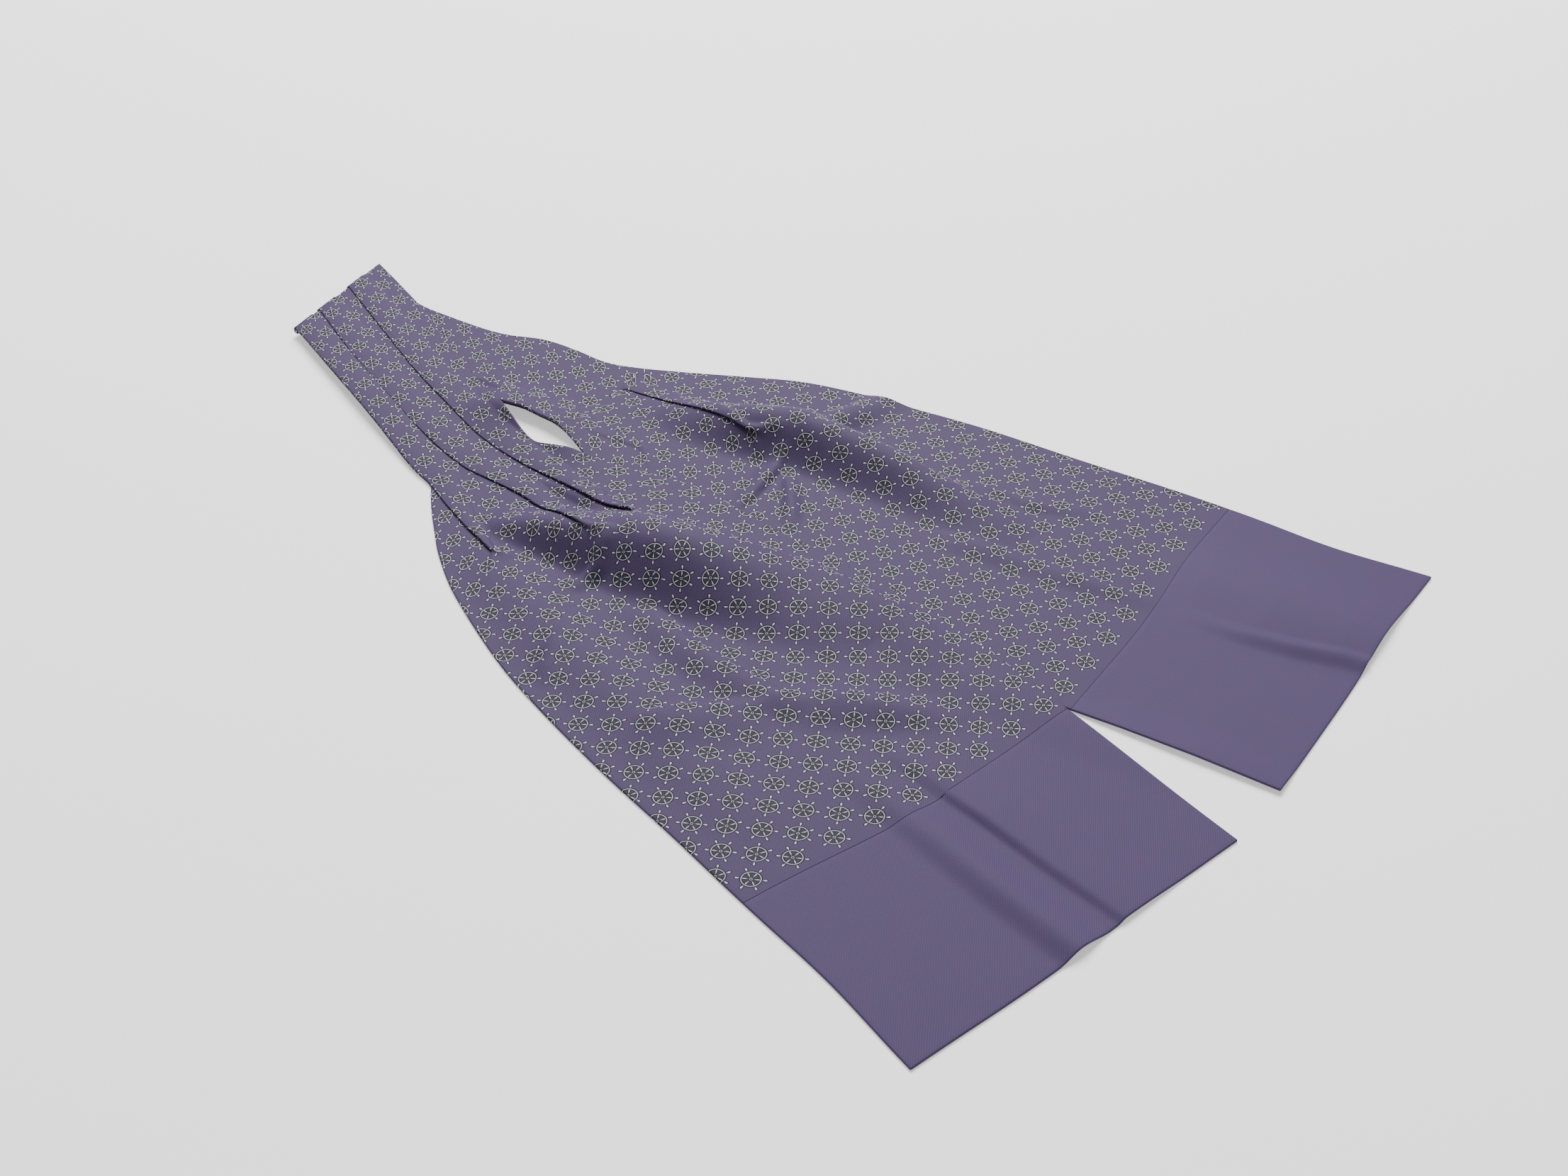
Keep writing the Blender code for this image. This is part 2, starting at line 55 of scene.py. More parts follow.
NECK_DROP = 60.0  # how far from the turn the rear half comes down to the surface
BACK_SHARE = 0.75  # how much of a fold of the whole tube its underside takes up
CUT_WIDTH, NECK_TO_SEAM = 165.0, 483.0
UNDER_SPACING, UNDER_COLUMNS = 4.0, 60  # between a lower panel's lines, and points on each
UNDER_START = 1.5  # how far from the turn the lower panel begins
UNDER_SEAM = 0.02  # half the gap at the seam of a plain end, on the lower side

# A line across the tube, from its left edge to its right edge.
Across = namedtuple("Across", "left_x left_y right_x right_y")
NECK = Across(-42.0, 262.2, 29.0, 284.5)
REAR_SEAM = Across(0.8, -200.7, 159.7, -173.5)
REAR_HALF = (
    NECK,
    Across(-39, 236, 20.5, 248),
    Across(-34, 208, 24, 219),
    Across(-27, 180, 31, 188),
    Across(-20, 156, 42.5, 166),
    Across(-14.8, 137, 47, 147),
    Across(-11, 119, 49.5, 127.5),
    Across(-9.2, 99.5, 56.5, 112),  # the end of the neckband's stitching
    Across(-11.6, 81, 70.5, 90.5),
    Across(-19.5, 57, 88.5, 65),
    Across(-29, 32, 104.5, 41),
    Across(-36.5, 1, 116, 13),
    Across(-33, -30, 124, -14),
    Across(-24.5, -72, 134.5, -52),
    Across(-14, -125, 144.5, -101),
    Across(-5.5, -168, 153.5, -141.5),
    REAR_SEAM,
)

# A fold's crest line, with its height there and how far it reaches to its left and right.
Crest = namedtuple("Crest", "x y height left right")
REAR_EDGE_FOLD = (  # the neckband's left edge stands up beside the front half
    Crest(-17, 152, 0, 18, 26),
    Crest(-14, 138, 4.2, 18, 26),
    Crest(-10.5, 120, 6.4, 18, 26),
    Crest(-9.5, 110, 5.4, 18, 26),
    Crest(-9, 100, 6, 18, 26),
    Crest(-11, 84, 3, 18, 26),
    Crest(-15, 68, 0.8, 18, 26),
    Crest(-21, 52, 0, 18, 26),
)
REAR_HEM_FOLD = (
    Crest(108, -168, 0, 18, 30),
    Crest(112, -192, 1.8, 34, 34),
    Crest(116, -226, 3, 40, 38),
    Crest(122, -258, 3.3, 36, 38),
    Crest(127, -292, 2.8, 26, 36),
)
REAR_END_EDGE = (  # the plain end's left edge lies a little off the surface
    Crest(1, -196, 0, 8, 14),
    Crest(6, -222, 1.3, 10, 18),
    Crest(12, -252, 1.9, 10, 20),
    Crest(18, -292, 1.2, 10, 20),
)
REAR_TUBE_FOLDS = (REAR_EDGE_FOLD, REAR_HEM_FOLD, REAR_END_EDGE)
# Where the cloth was not laid quite straight: a place, how far round it and which way it moves.
Bend = namedtuple("Bend", "x y reach_x reach_y move_x move_y")
REAR_BENDS = (
    Bend(122, -180, 36, 34, 0, 1.5),
    Bend(60, -192, 40, 30, 0, -1.5),
    Bend(166, -224, 34, 32, -3, 0),
    Bend(134, -272, 36, 20, 0, 1.5),
)


def smoothstep(value):
    """An even step from 0 to 1."""
    value = np.clip(value, 0, 1)
    return value * value * (3 - 2 * value)


def read_rows(table, at):
    """A smooth curve through a table's rows, read at places counted in rows."""
    rows = np.asarray(table, float)
    at = np.clip(np.asarray(at, float), 0, len(rows) - 1)
    first = np.minimum(at.astype(int), len(rows) - 2)
    u = (at - first)[:, None]
    a, b = rows[np.maximum(first - 1, 0)], rows[first]
    c, d = rows[first + 1], rows[np.minimum(first + 2, len(rows) - 1)]
    return 0.5 * (
        2 * b + (c - a) * u
        + (2 * a - 5 * b + 4 * c - d) * u**2
        + (3 * b - a - 3 * c + d) * u**3
    )


def lines_across(table, spacing, start=0.0, end=0.0):
    """Evenly spaced lines across a half, from start after its first row to end before its last."""
    between_rows = 60
    steps = between_rows * (len(table) - 1) + 1
    fine = read_rows(table, np.linspace(0, len(table) - 1, steps))
    middle = (fine[:, :2] + fine[:, 2:]) / 2
    reach = np.concatenate([[0], np.cumsum(np.linalg.norm(np.diff(middle, axis=0), axis=1))])
    count = round((reach[-1] - start - end) / spacing) + 1
    places = np.linspace(start, reach[-1] - end, count)
    lines = np.stack([np.interp(places, reach, column) for column in fine.T], axis=1)
    return lines, places, reach[-1]


def fold_height(points, crests):
    """How high one fold of the laid cloth stands over each point."""
    crests = np.asarray(crests, float)
    nearest = np.full(len(points), np.inf)
    height = np.zeros(len(points))
    for start, end in zip(crests[:-1], crests[1:]):
        run = end[:2] - start[:2]
        along = np.clip((points - start[:2]) @ run / (run @ run), 0, 1)
        away = points - start[:2] - along[:, None] * run
        distance = np.hypot(away[:, 0], away[:, 1])
        here = start + along[:, None] * (end - start)
        is_left = run[0] * away[:, 1] - run[1] * away[:, 0] < 0
        reach = np.where(is_left, here[:, 3], here[:, 4])
        rise = here[:, 2] * (1 + np.cos(np.pi * np.clip(distance / reach, 0, 1))) / 2
        height = np.where(distance < nearest, rise, height)
        nearest = np.minimum(distance, nearest)
    return height


def fold_heights(points, folds):
    """How high several folds stand together over each point."""
    return sum(fold_height(points, crests) for crests in folds)


NECK_LEFT, NECK_RIGHT = np.array(NECK[:2]), np.array(NECK[2:])
NECK_AXIS = (NECK_RIGHT - NECK_LEFT) / np.linalg.norm(NECK_RIGHT - NECK_LEFT)
NECK_OUT = np.array([-NECK_AXIS[1], NECK_AXIS[0]])


def rear_tube(points):
    """The height of the middle of the rear half, without its folds."""
    from_neck = -(points - NECK_LEFT) @ NECK_OUT
    return RESTING + HELD_REAR * (1 - smoothstep(from_neck / NECK_DROP))


def rear_under(points):
    """The height of the tube's middle that the rear half's lower side follows."""
    return rear_tube(points) + BACK_SHARE * fold_heights(points, REAR_TUBE_FOLDS)


def raised(points, height_of, offset):
    """Points on a laid surface, moved out along its normal."""
    step = 0.5
    slope_x = (height_of(points + (step, 0)) - height_of(points - (step, 0))) / (2 * step)
    slope_y = (height_of(points + (0, step)) - height_of(points - (0, step))) / (2 * step)
    normal = np.stack([-slope_x, -slope_y, np.ones(len(points))], axis=1)
    normal /= np.linalg.norm(normal, axis=1)[:, None]
    return np.column_stack([points, height_of(points)]) + normal * np.reshape(offset, (-1, 1))


def laid(plan, height_of, offset, bends):
    """A grid of places seen from above, bent in the plane and laid on a height."""
    for bend in bends:
        across = (plan[..., 0] - bend.x) / bend.reach_x
        along = (plan[..., 1] - bend.y) / bend.reach_y
        share = np.exp(-(across**2) - along**2)
        plan = plan + share[..., None] * (bend.move_x, bend.move_y)
    offset = np.broadcast_to(offset, plan.shape[:2]).ravel()
    return raised(plan.reshape(-1, 2), height_of, offset).reshape(*plan.shape[:2], 3)


def lower_panel(lines, height_of, bends):
    """The middle of a panel that lies underneath: a row of points for each line across."""
    left, right = lines[:, None, :2], lines[:, None, 2:]
    width = np.linalg.norm(right - left, axis=2)
    across = BESIDE_EDGE + np.linspace(0, 1, UNDER_COLUMNS) * (width - 2 * BESIDE_EDGE)
    plan = left + (across / width)[..., None] * (right - left)
    return laid(plan, height_of, -PANEL, bends)


SHORT_STEP = 0.3  # a step shorter than this counts for less in a point's direction


def directions(grid, axis):
    """The direction of a grid's lines at each point, with less weight to its shortest steps."""
    steps = np.diff(grid, axis=axis)
    steps /= np.maximum(np.linalg.norm(steps, axis=2), SHORT_STEP)[:, :, None]
    first = np.take(steps, [0], axis=axis)
    last = np.take(steps, [-1], axis=axis)
    return np.concatenate([first, steps], axis=axis) + np.concatenate([steps, last], axis=axis)


def evened(values, reach=6):
    """Each value averaged with its neighbours across the cloth."""
    padded = np.pad(values, ((0, 0), (reach, reach), (0, 0)), "edge")
    width = values.shape[1]
    return sum(padded[:, start : start + width] for start in range(2 * reach + 1))


def from_middle(middle):
    """How far each point lies from the middle of its panel, measured over the cloth."""
    steps = np.linalg.norm(np.diff(middle, axis=1), axis=2)
    across = np.concatenate([np.zeros((len(middle), 1)), np.cumsum(steps, axis=1)], axis=1)
    return across - across[:, -1:] / 2


def cut_places(middle, from_neck):
    """Where each point lies on the flat cut, in millimetres across and along it."""
    along = np.repeat(np.reshape(from_neck, (-1, 1)), middle.shape[1], axis=1)
    return np.stack([from_middle(middle), along], axis=2)


SHARP_EDGE = 60  # degrees


def add_cloth(name, middle, places):
    """A closed wall of cloth round the middle surface that a grid of points gives."""
    rows, columns = middle.shape[:2]
    normal = np.cross(evened(directions(middle, 0)), directions(middle, 1))
    normal /= np.linalg.norm(normal, axis=2)[:, :, None]
    sides = [(middle + normal * offset).reshape(-1, 3) for offset in (WALL / 2, -WALL / 2)]
    corner = np.arange(rows * columns).reshape(rows, columns)
    a, b = corner[:-1, :-1].ravel(), corner[1:, :-1].ravel()
    c, d = corner[1:, 1:].ravel(), corner[:-1, 1:].ravel()
    count = rows * columns
    rim = np.concatenate([corner[:, 0], corner[-1, 1:], corner[-2::-1, -1], corner[0, -2:0:-1]])
    after = np.roll(rim, -1)
    quads = np.concatenate([
        np.stack([a, b, c, d], axis=1),
        np.stack([d, c, b, a], axis=1) + count,
        np.stack([after, rim, rim + count, after + count], axis=1),
    ])
    mesh = bpy.data.meshes.new(name)
    mesh.from_pydata((np.vstack(sides) * MM).tolist(), [], quads.tolist())
    cut = mesh.uv_layers.new(name="cut")
    flat = np.vstack([places.reshape(-1, 2)] * 2) * MM
    corners = np.empty(len(mesh.loops), int)
    mesh.loops.foreach_get("vertex_index", corners)
    cut.data.foreach_set("uv", flat[corners].ravel())
    mesh.shade_smooth()
    mesh.set_sharp_from_angle(angle=np.radians(SHARP_EDGE))
    cloth = bpy.data.objects.new(name, mesh)
    bpy.context.scene.collection.objects.link(cloth)
    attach(cloth, "root")
    return cloth


def node_maths(tree):
    """A function that adds a Math node, with sockets or numbers for its values."""

    def maths(operation, *values, clamp=False):
        node = tree.nodes.new("ShaderNodeMath")
        node.operation = operation
        node.use_clamp = clamp
        for socket, value in zip(node.inputs, values):
            if isinstance(value, (int, float)):
                socket.default_value = value
            else:
                tree.links.new(value, socket)
        return node.outputs[0]

    return maths


def new_group(name, inputs, outputs):
    """An empty node group, with what it is given and what it puts out."""
    tree = bpy.data.node_groups.new(name, "ShaderNodeTree")
    for direction, sockets in (("INPUT", inputs), ("OUTPUT", outputs)):
        for socket, kind in sockets.items():
            tree.interface.new_socket(socket, in_out=direction, socket_type=f"NodeSocket{kind}")
    return tree, tree.nodes.new("NodeGroupInput").outputs, tree.nodes.new("NodeGroupOutput").inputs


# The weave, in metres, and how much of the cloth's grain each part of it gives.
RIB_SPACING, THREAD_SPACING = 0.00085, 0.0006
RIB_WANDER = 0.0006  # how far a rib strays from straight
RIB_GRAIN, THREAD_GRAIN, SLUB_GRAIN = 0.5, 0.15, 1.2
# The dye is mottled in patches of a few millimetres, with finer flecks in them.
PATCH_SCALE, FLECK_SCALE = 110, 900
PATCH_SHARE, FLECK_SHARE = 0.55, 0.45


def make_twill_group():
    """The twill: fine diagonal ribs, with slubs and a faint mottling of its dye."""
    tree, given, out = new_group(
        "twill",
        {"Place": "Vector", "Rib spacing": "Float"},
        {"Height": "Float", "Mottling": "Float", "Rib": "Float"},
    )
    maths = node_maths(tree)
    split = tree.nodes.new("ShaderNodeSeparateXYZ")
    tree.links.new(given["Place"], split.inputs[0])
    across, along = split.outputs[0], split.outputs[1]

    def noise(scale, detail):
        """Noise over the flat cut."""
        node = tree.nodes.new("ShaderNodeTexNoise")
        node.inputs["Scale"].default_value = scale
        node.inputs["Detail"].default_value = detail
        tree.links.new(given["Place"], node.inputs["Vector"])
        return node.outputs[0]

    wander = maths("MULTIPLY", maths("SUBTRACT", noise(90, 2), 0.5), RIB_WANDER)
    over = maths("MULTIPLY", maths("ADD", across, along), 0.5**0.5)
    turns = maths("DIVIDE", maths("ADD", over, wander), given["Rib spacing"])
    rib = maths("SINE", maths("MULTIPLY", turns, 2 * np.pi))
    down = maths("SUBTRACT", across, along)
    thread = maths("SINE", maths("MULTIPLY", maths("DIVIDE", down, THREAD_SPACING), 2 * np.pi))
    ribs, threads = maths("MULTIPLY", rib, RIB_GRAIN), maths("MULTIPLY", thread, THREAD_GRAIN)
    slub = maths("MULTIPLY", maths("SUBTRACT", noise(2200, 2), 0.5), SLUB_GRAIN)
    tree.links.new(maths("ADD", maths("ADD", ribs, threads), slub), out["Height"])
    patches = maths("MULTIPLY", noise(PATCH_SCALE, 4), PATCH_SHARE)
    flecks = maths("MULTIPLY", noise(FLECK_SCALE, 3), FLECK_SHARE)
    tree.links.new(maths("ADD", patches, flecks), out["Mottling"])
    # the ribs, which also carry the painted shade on their crests and hollows
    tree.links.new(rib, out["Rib"])
    return tree


RING_SHARE, SPOKE_SHARE = 0.7, 0.78  # of the grips' full strength of pale ink
# A wheel's sizes, in millimetres from its middle. The spokes and the grips on them taper:
# half their width swells between the ends by the first number and starts at the second.
SPOKES = 6
SPOKE_TURN = 0.03  # radians
HUB_RADIUS, HUB_HALF = 0.5, 0.12
RING_RADIUS, RING_HALF, RING_OUTLINE = 3.68, 0.18, 0.62
DISC_RADIUS = 3.6
SPOKE_ENDS, SPOKE_HALF, SPOKE_OUTLINE = (0.9, 3.45), (0.42, 0.03), 0.34
GRIP_ENDS, GRIP_HALF, GRIP_OUTLINE = (4.15, 6.1), (0.58, 0.05), 0.4
SPOKE_SHOWS, GRIP_SHOWS = (1.0, 3.4), (4.3, 6.0)
SOFT_EDGE = 0.09


def make_wheel_group():
    """The print: ship's wheels on a square lattice, every second one turned by half a spoke."""
    tree, given, out = new_group(
        "wheel_print",
        {"Place": "Vector", "Pitch": "Float", "Last row": "Float"},
        {"Light": "Float", "Dark": "Float", "Disc": "Float"},
    )
    maths = node_maths(tree)
    split = tree.nodes.new("ShaderNodeSeparateXYZ")
    tree.links.new(given["Place"], split.inputs[0])
    across, along = split.outputs[0], split.outputs[1]

    def cell(sign):
        """A cell's number along one diagonal, and the millimetres from its middle."""
        turned = maths("MULTIPLY", maths("ADD", across, maths("MULTIPLY", along, sign)), 0.5**0.5)
        count = maths("DIVIDE", turned, given["Pitch"])
        number = maths("ROUND", count)
        rest = maths("MULTIPLY", maths("SUBTRACT", count, number), given["Pitch"])
        return number, maths("MULTIPLY", rest, 1 / MM)

    column, x = cell(1)
    row, y = cell(-1)
    down = maths("MULTIPLY", maths("SUBTRACT", column, row), given["Pitch"])
    printed = maths("LESS_THAN", maths("MULTIPLY", down, 0.5**0.5), given["Last row"])
    odd = maths("FLOORED_MODULO", maths("ADD", column, row), 2)
    radius = maths("SQRT", maths("ADD", maths("MULTIPLY", x, x), maths("MULTIPLY", y, y)))
    between = 2 * np.pi / SPOKES
    angle = maths("ADD", maths("ARCTAN2", y, x), maths("MULTIPLY", odd, between / 2))
    share = maths("DIVIDE", maths("ADD", angle, SPOKE_TURN), between)
    from_spoke = maths("MULTIPLY", maths("SUBTRACT", share, maths("ROUND", share)), between)
    beside = maths("ABSOLUTE", maths("MULTIPLY", radius, maths("SINE", from_spoke)))
    out_along = maths("MULTIPLY", radius, maths("COSINE", from_spoke))

    def within(value, limit, soft=SOFT_EDGE):
        """1 where a value is under a limit, falling to 0 over a soft edge."""
        return maths("MULTIPLY_ADD", maths("SUBTRACT", limit, value), 1 / soft, 0.5, clamp=True)

    def beyond(value, limit):
        """1 where a value is over a limit."""
        return within(limit, value)

    def band(value, middle, half, soft=SOFT_EDGE):
        """1 where a value is no farther than half a width from the middle of a line."""
        return within(maths("ABSOLUTE", maths("SUBTRACT", value, middle)), half, soft)

    def both(*masks):
        """1 where every mask is."""
        product = masks[0]
        for mask in masks[1:]:
            product = maths("MULTIPLY", product, mask)
        return product

    def either(*masks):
        """1 where any mask is."""
        most = masks[0]
        for mask in masks[1:]:
            most = maths("MAXIMUM", most, mask)
        return most

    def along_arm(start, end):
        """The share of the way along an arm of the wheel, and a swelling that is 0 at its ends."""
        length = end - start
        share = maths("MULTIPLY_ADD", out_along, 1 / length, -start / length, clamp=True)
        return share, maths("SINE", maths("MULTIPLY", share, np.pi))

    share, swelling = along_arm(*SPOKE_ENDS)
    spoke_half = maths("MULTIPLY_ADD", maths("MULTIPLY", share, swelling), *SPOKE_HALF)
    share, swelling = along_arm(*GRIP_ENDS)
    grip_half = maths("MULTIPLY_ADD", maths("MULTIPLY", share, swelling), *GRIP_HALF)
    disc = within(radius, DISC_RADIUS, 0.2)
    start, end = SPOKE_SHOWS
    spoke = both(within(beside, spoke_half), beyond(out_along, start), within(out_along, end))
    start, end = GRIP_SHOWS
    grip = both(within(beside, grip_half), beyond(out_along, start), within(out_along, end))
    ring = maths("MULTIPLY", band(radius, RING_RADIUS, RING_HALF), RING_SHARE)
    hub = maths("MULTIPLY", band(radius, HUB_RADIUS, HUB_HALF), RING_SHARE)
    light = either(ring, hub, maths("MULTIPLY", spoke, SPOKE_SHARE), grip)
    near_spoke = within(beside, maths("ADD", spoke_half, SPOKE_OUTLINE), 0.25)
    near_grip = within(beside, maths("ADD", grip_half, GRIP_OUTLINE), 0.3)
    outline = either(
        band(radius, RING_RADIUS, RING_OUTLINE, 0.3),
        both(near_spoke, within(out_along, 3.5)),
        both(near_grip, beyond(out_along, 3.6), within(out_along, 6.35, 0.3)),
    )
    for socket, mask in (("Light", light), ("Dark", outline), ("Disc", disc)):
        tree.links.new(both(printed, mask), out[socket])
    return tree


TWILL = make_twill_group()
WHEELS = make_wheel_group()
WHEEL_PITCH = 0.0132
LAST_WHEELS = 0.4875  # how far along the cut the last row of whole wheels may lie
PRINTED_PURPLE = (0.0615, 0.049, 0.108)
PRINTED_PURPLE_WORN = (0.08, 0.0525, 0.113)
INK_LIGHT = (0.6, 0.58, 0.72)
INK_DARK = (0.01, 0.009, 0.014)
INK_DISC = (0.037, 0.034, 0.045)
DISC_STRENGTH, INK_STRENGTH = 0.85, 0.92
# How the mottling fades the dye and dulls the cloth: each a factor and what is added.
FADING, DULLING = (2.2, -0.6), (0.16, 0.5)
RIB_PAINTED_SHADE = 0.09  # painted shade: how much lighter each rib's crest and darker its hollow are painted, as light falls on the weave
TWILL_SHEEN, SHEEN_ROUGHNESS, TWILL_GLOSS = 0.01, 0.45, 0.08
GRAIN_STRENGTH, GRAIN_DEPTH = 0.35, 0.00012


def twill_material(name, fresh, worn, printed):
    """Twill that fades from its fresh dye to its worn one, plain or printed with the wheels."""
    material = bpy.data.materials.new(name)
    material.use_nodes = True
    tree = material.node_tree
    maths = node_maths(tree)
    shader = tree.nodes["Principled BSDF"]
    cut = tree.nodes.new("ShaderNodeUVMap")
    cut.uv_map = "cut"

    def grouped(group, **values):
        """A node group laid out on the flat cut."""
        node = tree.nodes.new("ShaderNodeGroup")
        node.node_tree = group
        tree.links.new(cut.outputs[0], node.inputs["Place"])
        for socket, value in values.items():
            node.inputs[socket.replace("_", " ")].default_value = value
        return node.outputs

    def mixed(amount, first, second):
        """Two colours mixed by an amount."""
        node = tree.nodes.new("ShaderNodeMix")
        node.data_type = "RGBA"
        for socket, value in ((0, amount), (6, first), (7, second)):  # its factor, A and B
            if isinstance(value, tuple):
                node.inputs[socket].default_value = (*value, 1)
            else:
                tree.links.new(value, node.inputs[socket])
        return node.outputs[2]

    twill = grouped(TWILL, Rib_spacing=RIB_SPACING)
    faded = maths("MULTIPLY_ADD", twill["Mottling"], *FADING, clamp=True)
    colour = mixed(faded, fresh, worn)
    if printed:
        ink = grouped(WHEELS, Pitch=WHEEL_PITCH, Last_row=LAST_WHEELS)
        colour = mixed(maths("MULTIPLY", ink["Disc"], DISC_STRENGTH), colour, INK_DISC)
        colour = mixed(maths("MULTIPLY", ink["Dark"], INK_STRENGTH), colour, INK_DARK)
        colour = mixed(maths("MULTIPLY", ink["Light"], INK_STRENGTH), colour, INK_LIGHT)
    # painted shade: the ribs' crests are painted lighter and their hollows darker, as light falls
    # on the weave's relief
    painted_rib_shade = tree.nodes.new("ShaderNodeHueSaturation")
    tree.links.new(maths("MULTIPLY_ADD", twill["Rib"], RIB_PAINTED_SHADE, 1), painted_rib_shade.inputs["Value"])
    tree.links.new(colour, painted_rib_shade.inputs["Color"])
    tree.links.new(painted_rib_shade.outputs[0], shader.inputs["Base Color"])
    tree.links.new(maths("MULTIPLY_ADD", twill["Mottling"], *DULLING), shader.inputs["Roughness"])
    shader.inputs["Sheen Weight"].default_value = TWILL_SHEEN
    shader.inputs["Sheen Roughness"].default_value = SHEEN_ROUGHNESS
    shader.inputs["Specular IOR Level"].default_value = TWILL_GLOSS
    bump = tree.nodes.new("ShaderNodeBump")
    bump.inputs["Strength"].default_value = GRAIN_STRENGTH
    bump.inputs["Distance"].default_value = GRAIN_DEPTH
    tree.links.new(twill["Height"], bump.inputs["Height"])
    tree.links.new(bump.outputs[0], shader.inputs["Normal"])
    return material


def dress(cloth, node, material, cut_size):
    """Gives a panel its finish and hides the node it stands for. Its cut, cut_size, is not used.
    """
    cloth.data.materials.append(material)
    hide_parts(node)


def shown_area(middle):
    """The area of a panel's middle surface, in square millimetres."""
    first = np.cross(middle[1:, :-1] - middle[:-1, :-1], middle[1:, 1:] - middle[:-1, :-1])
    second = np.cross(middle[1:, 1:] - middle[:-1, :-1], middle[:-1, 1:] - middle[:-1, :-1])
    return float((np.linalg.norm(first, axis=2) + np.linalg.norm(second, axis=2)).sum() / 2)


PRINTED = twill_material("printed_twill", PRINTED_PURPLE, PRINTED_PURPLE_WORN, printed=True)

lines, from_neck, _ = lines_across(REAR_HALF, UNDER_SPACING, start=UNDER_START, end=UNDER_SEAM)
middle = lower_panel(lines, rear_under, REAR_BENDS)
cloth = add_cloth("rear_face_cloth", middle, cut_places(middle, from_neck))
dress(cloth, "rear_face", PRINTED,
      (CUT_WIDTH, NECK_TO_SEAM, shown_area(middle)))

# ================================================================ the rear half's back panel
# The same print, sewn to the face panel along both sides and rolled round the edges. Two of
# the neckband's pleats come out of it and open on the blade.
OVER_LEFT, OVER_RIGHT = 1, -1
Point = namedtuple("Point", "x y")
# depth lies hidden under the fold, puffed is how loose its layers are, and it opens from 0,
# folded, to 1, gone.
State = namedtuple("State", "y depth puffed opened")
Pleat = namedtuple("Pleat", "lap begins ends fold states")
LAYER = 0.34  # from one pressed layer to the next
PLEAT_SLOPE = 3.0  # the width over which a pleat's top layer comes down again
# An opened pleat's points spread over a share of the way to the next fold, in these limits.
SPREAD, LEAST_SPREAD, WIDEST_SPREAD = 0.38, 1, 30
FLATTENS_FROM, FLATTENS_OVER = 0.25, 0.6  # the part of its opening in which a pleat lies down
PAST_ENDS = 1.05  # a fold's line goes on past the neck and the seam, so that all lines meet it
TURN_STEPS = 7  # points round each of a pleat's two folds
ROLLED = np.radians((140, 115, 90, 65, 45, 30, 15, 0))  # round a side edge, up from below
TOP_SPACING, TOP_START = 1.4, 1.0  # between a pleated panel's lines, and before the first
SEAM = 0.025  # half the gap at the seam of a plain end, on the upper side

REAR_PLEATS = (
    Pleat(
        OVER_RIGHT, 0.35, 0.3,
        (
            Point(-6.5, 172), Point(-2, 155), Point(3, 137),
            Point(6.3, 121), Point(8.8, 103.9), Point(9.8, 88),
            Point(10.6, 70), Point(9.6, 52), Point(8.6, 34),
        ),
        (
            State(178, 0, 1, 1), State(158, 0, 1, 0), State(136, 6, 1, 0),
            State(84, 8, 1, 0), State(60, 0, 1, 0), State(34, 0, 1, 1),
        ),
    ),
    Pleat(
        OVER_LEFT, 0.82, 0.52,
        (
            Point(17.1, 217.6), Point(20.1, 196), Point(22.8, 174.9),
            Point(26.5, 156.1), Point(30.4, 137.3), Point(36.4, 110.8),
            Point(40.4, 94.4), Point(42.6, 79.3), Point(43.6, 64),
            Point(45.2, 49), Point(46.4, 36), Point(47, 23),
            Point(51, 6), Point(60, -20), Point(66, -50),
            Point(70, -95),
        ),
        (
            State(250, 0, 0.85, 1), State(114, 6, 0.85, 1), State(96, 8, 0.9, 0),
            State(76, 9, 1.4, 0), State(44, 4, 1.8, 0), State(27, 0, 2.2, 0),
            State(0, 0, 2, 1),
        ),
    ),
)
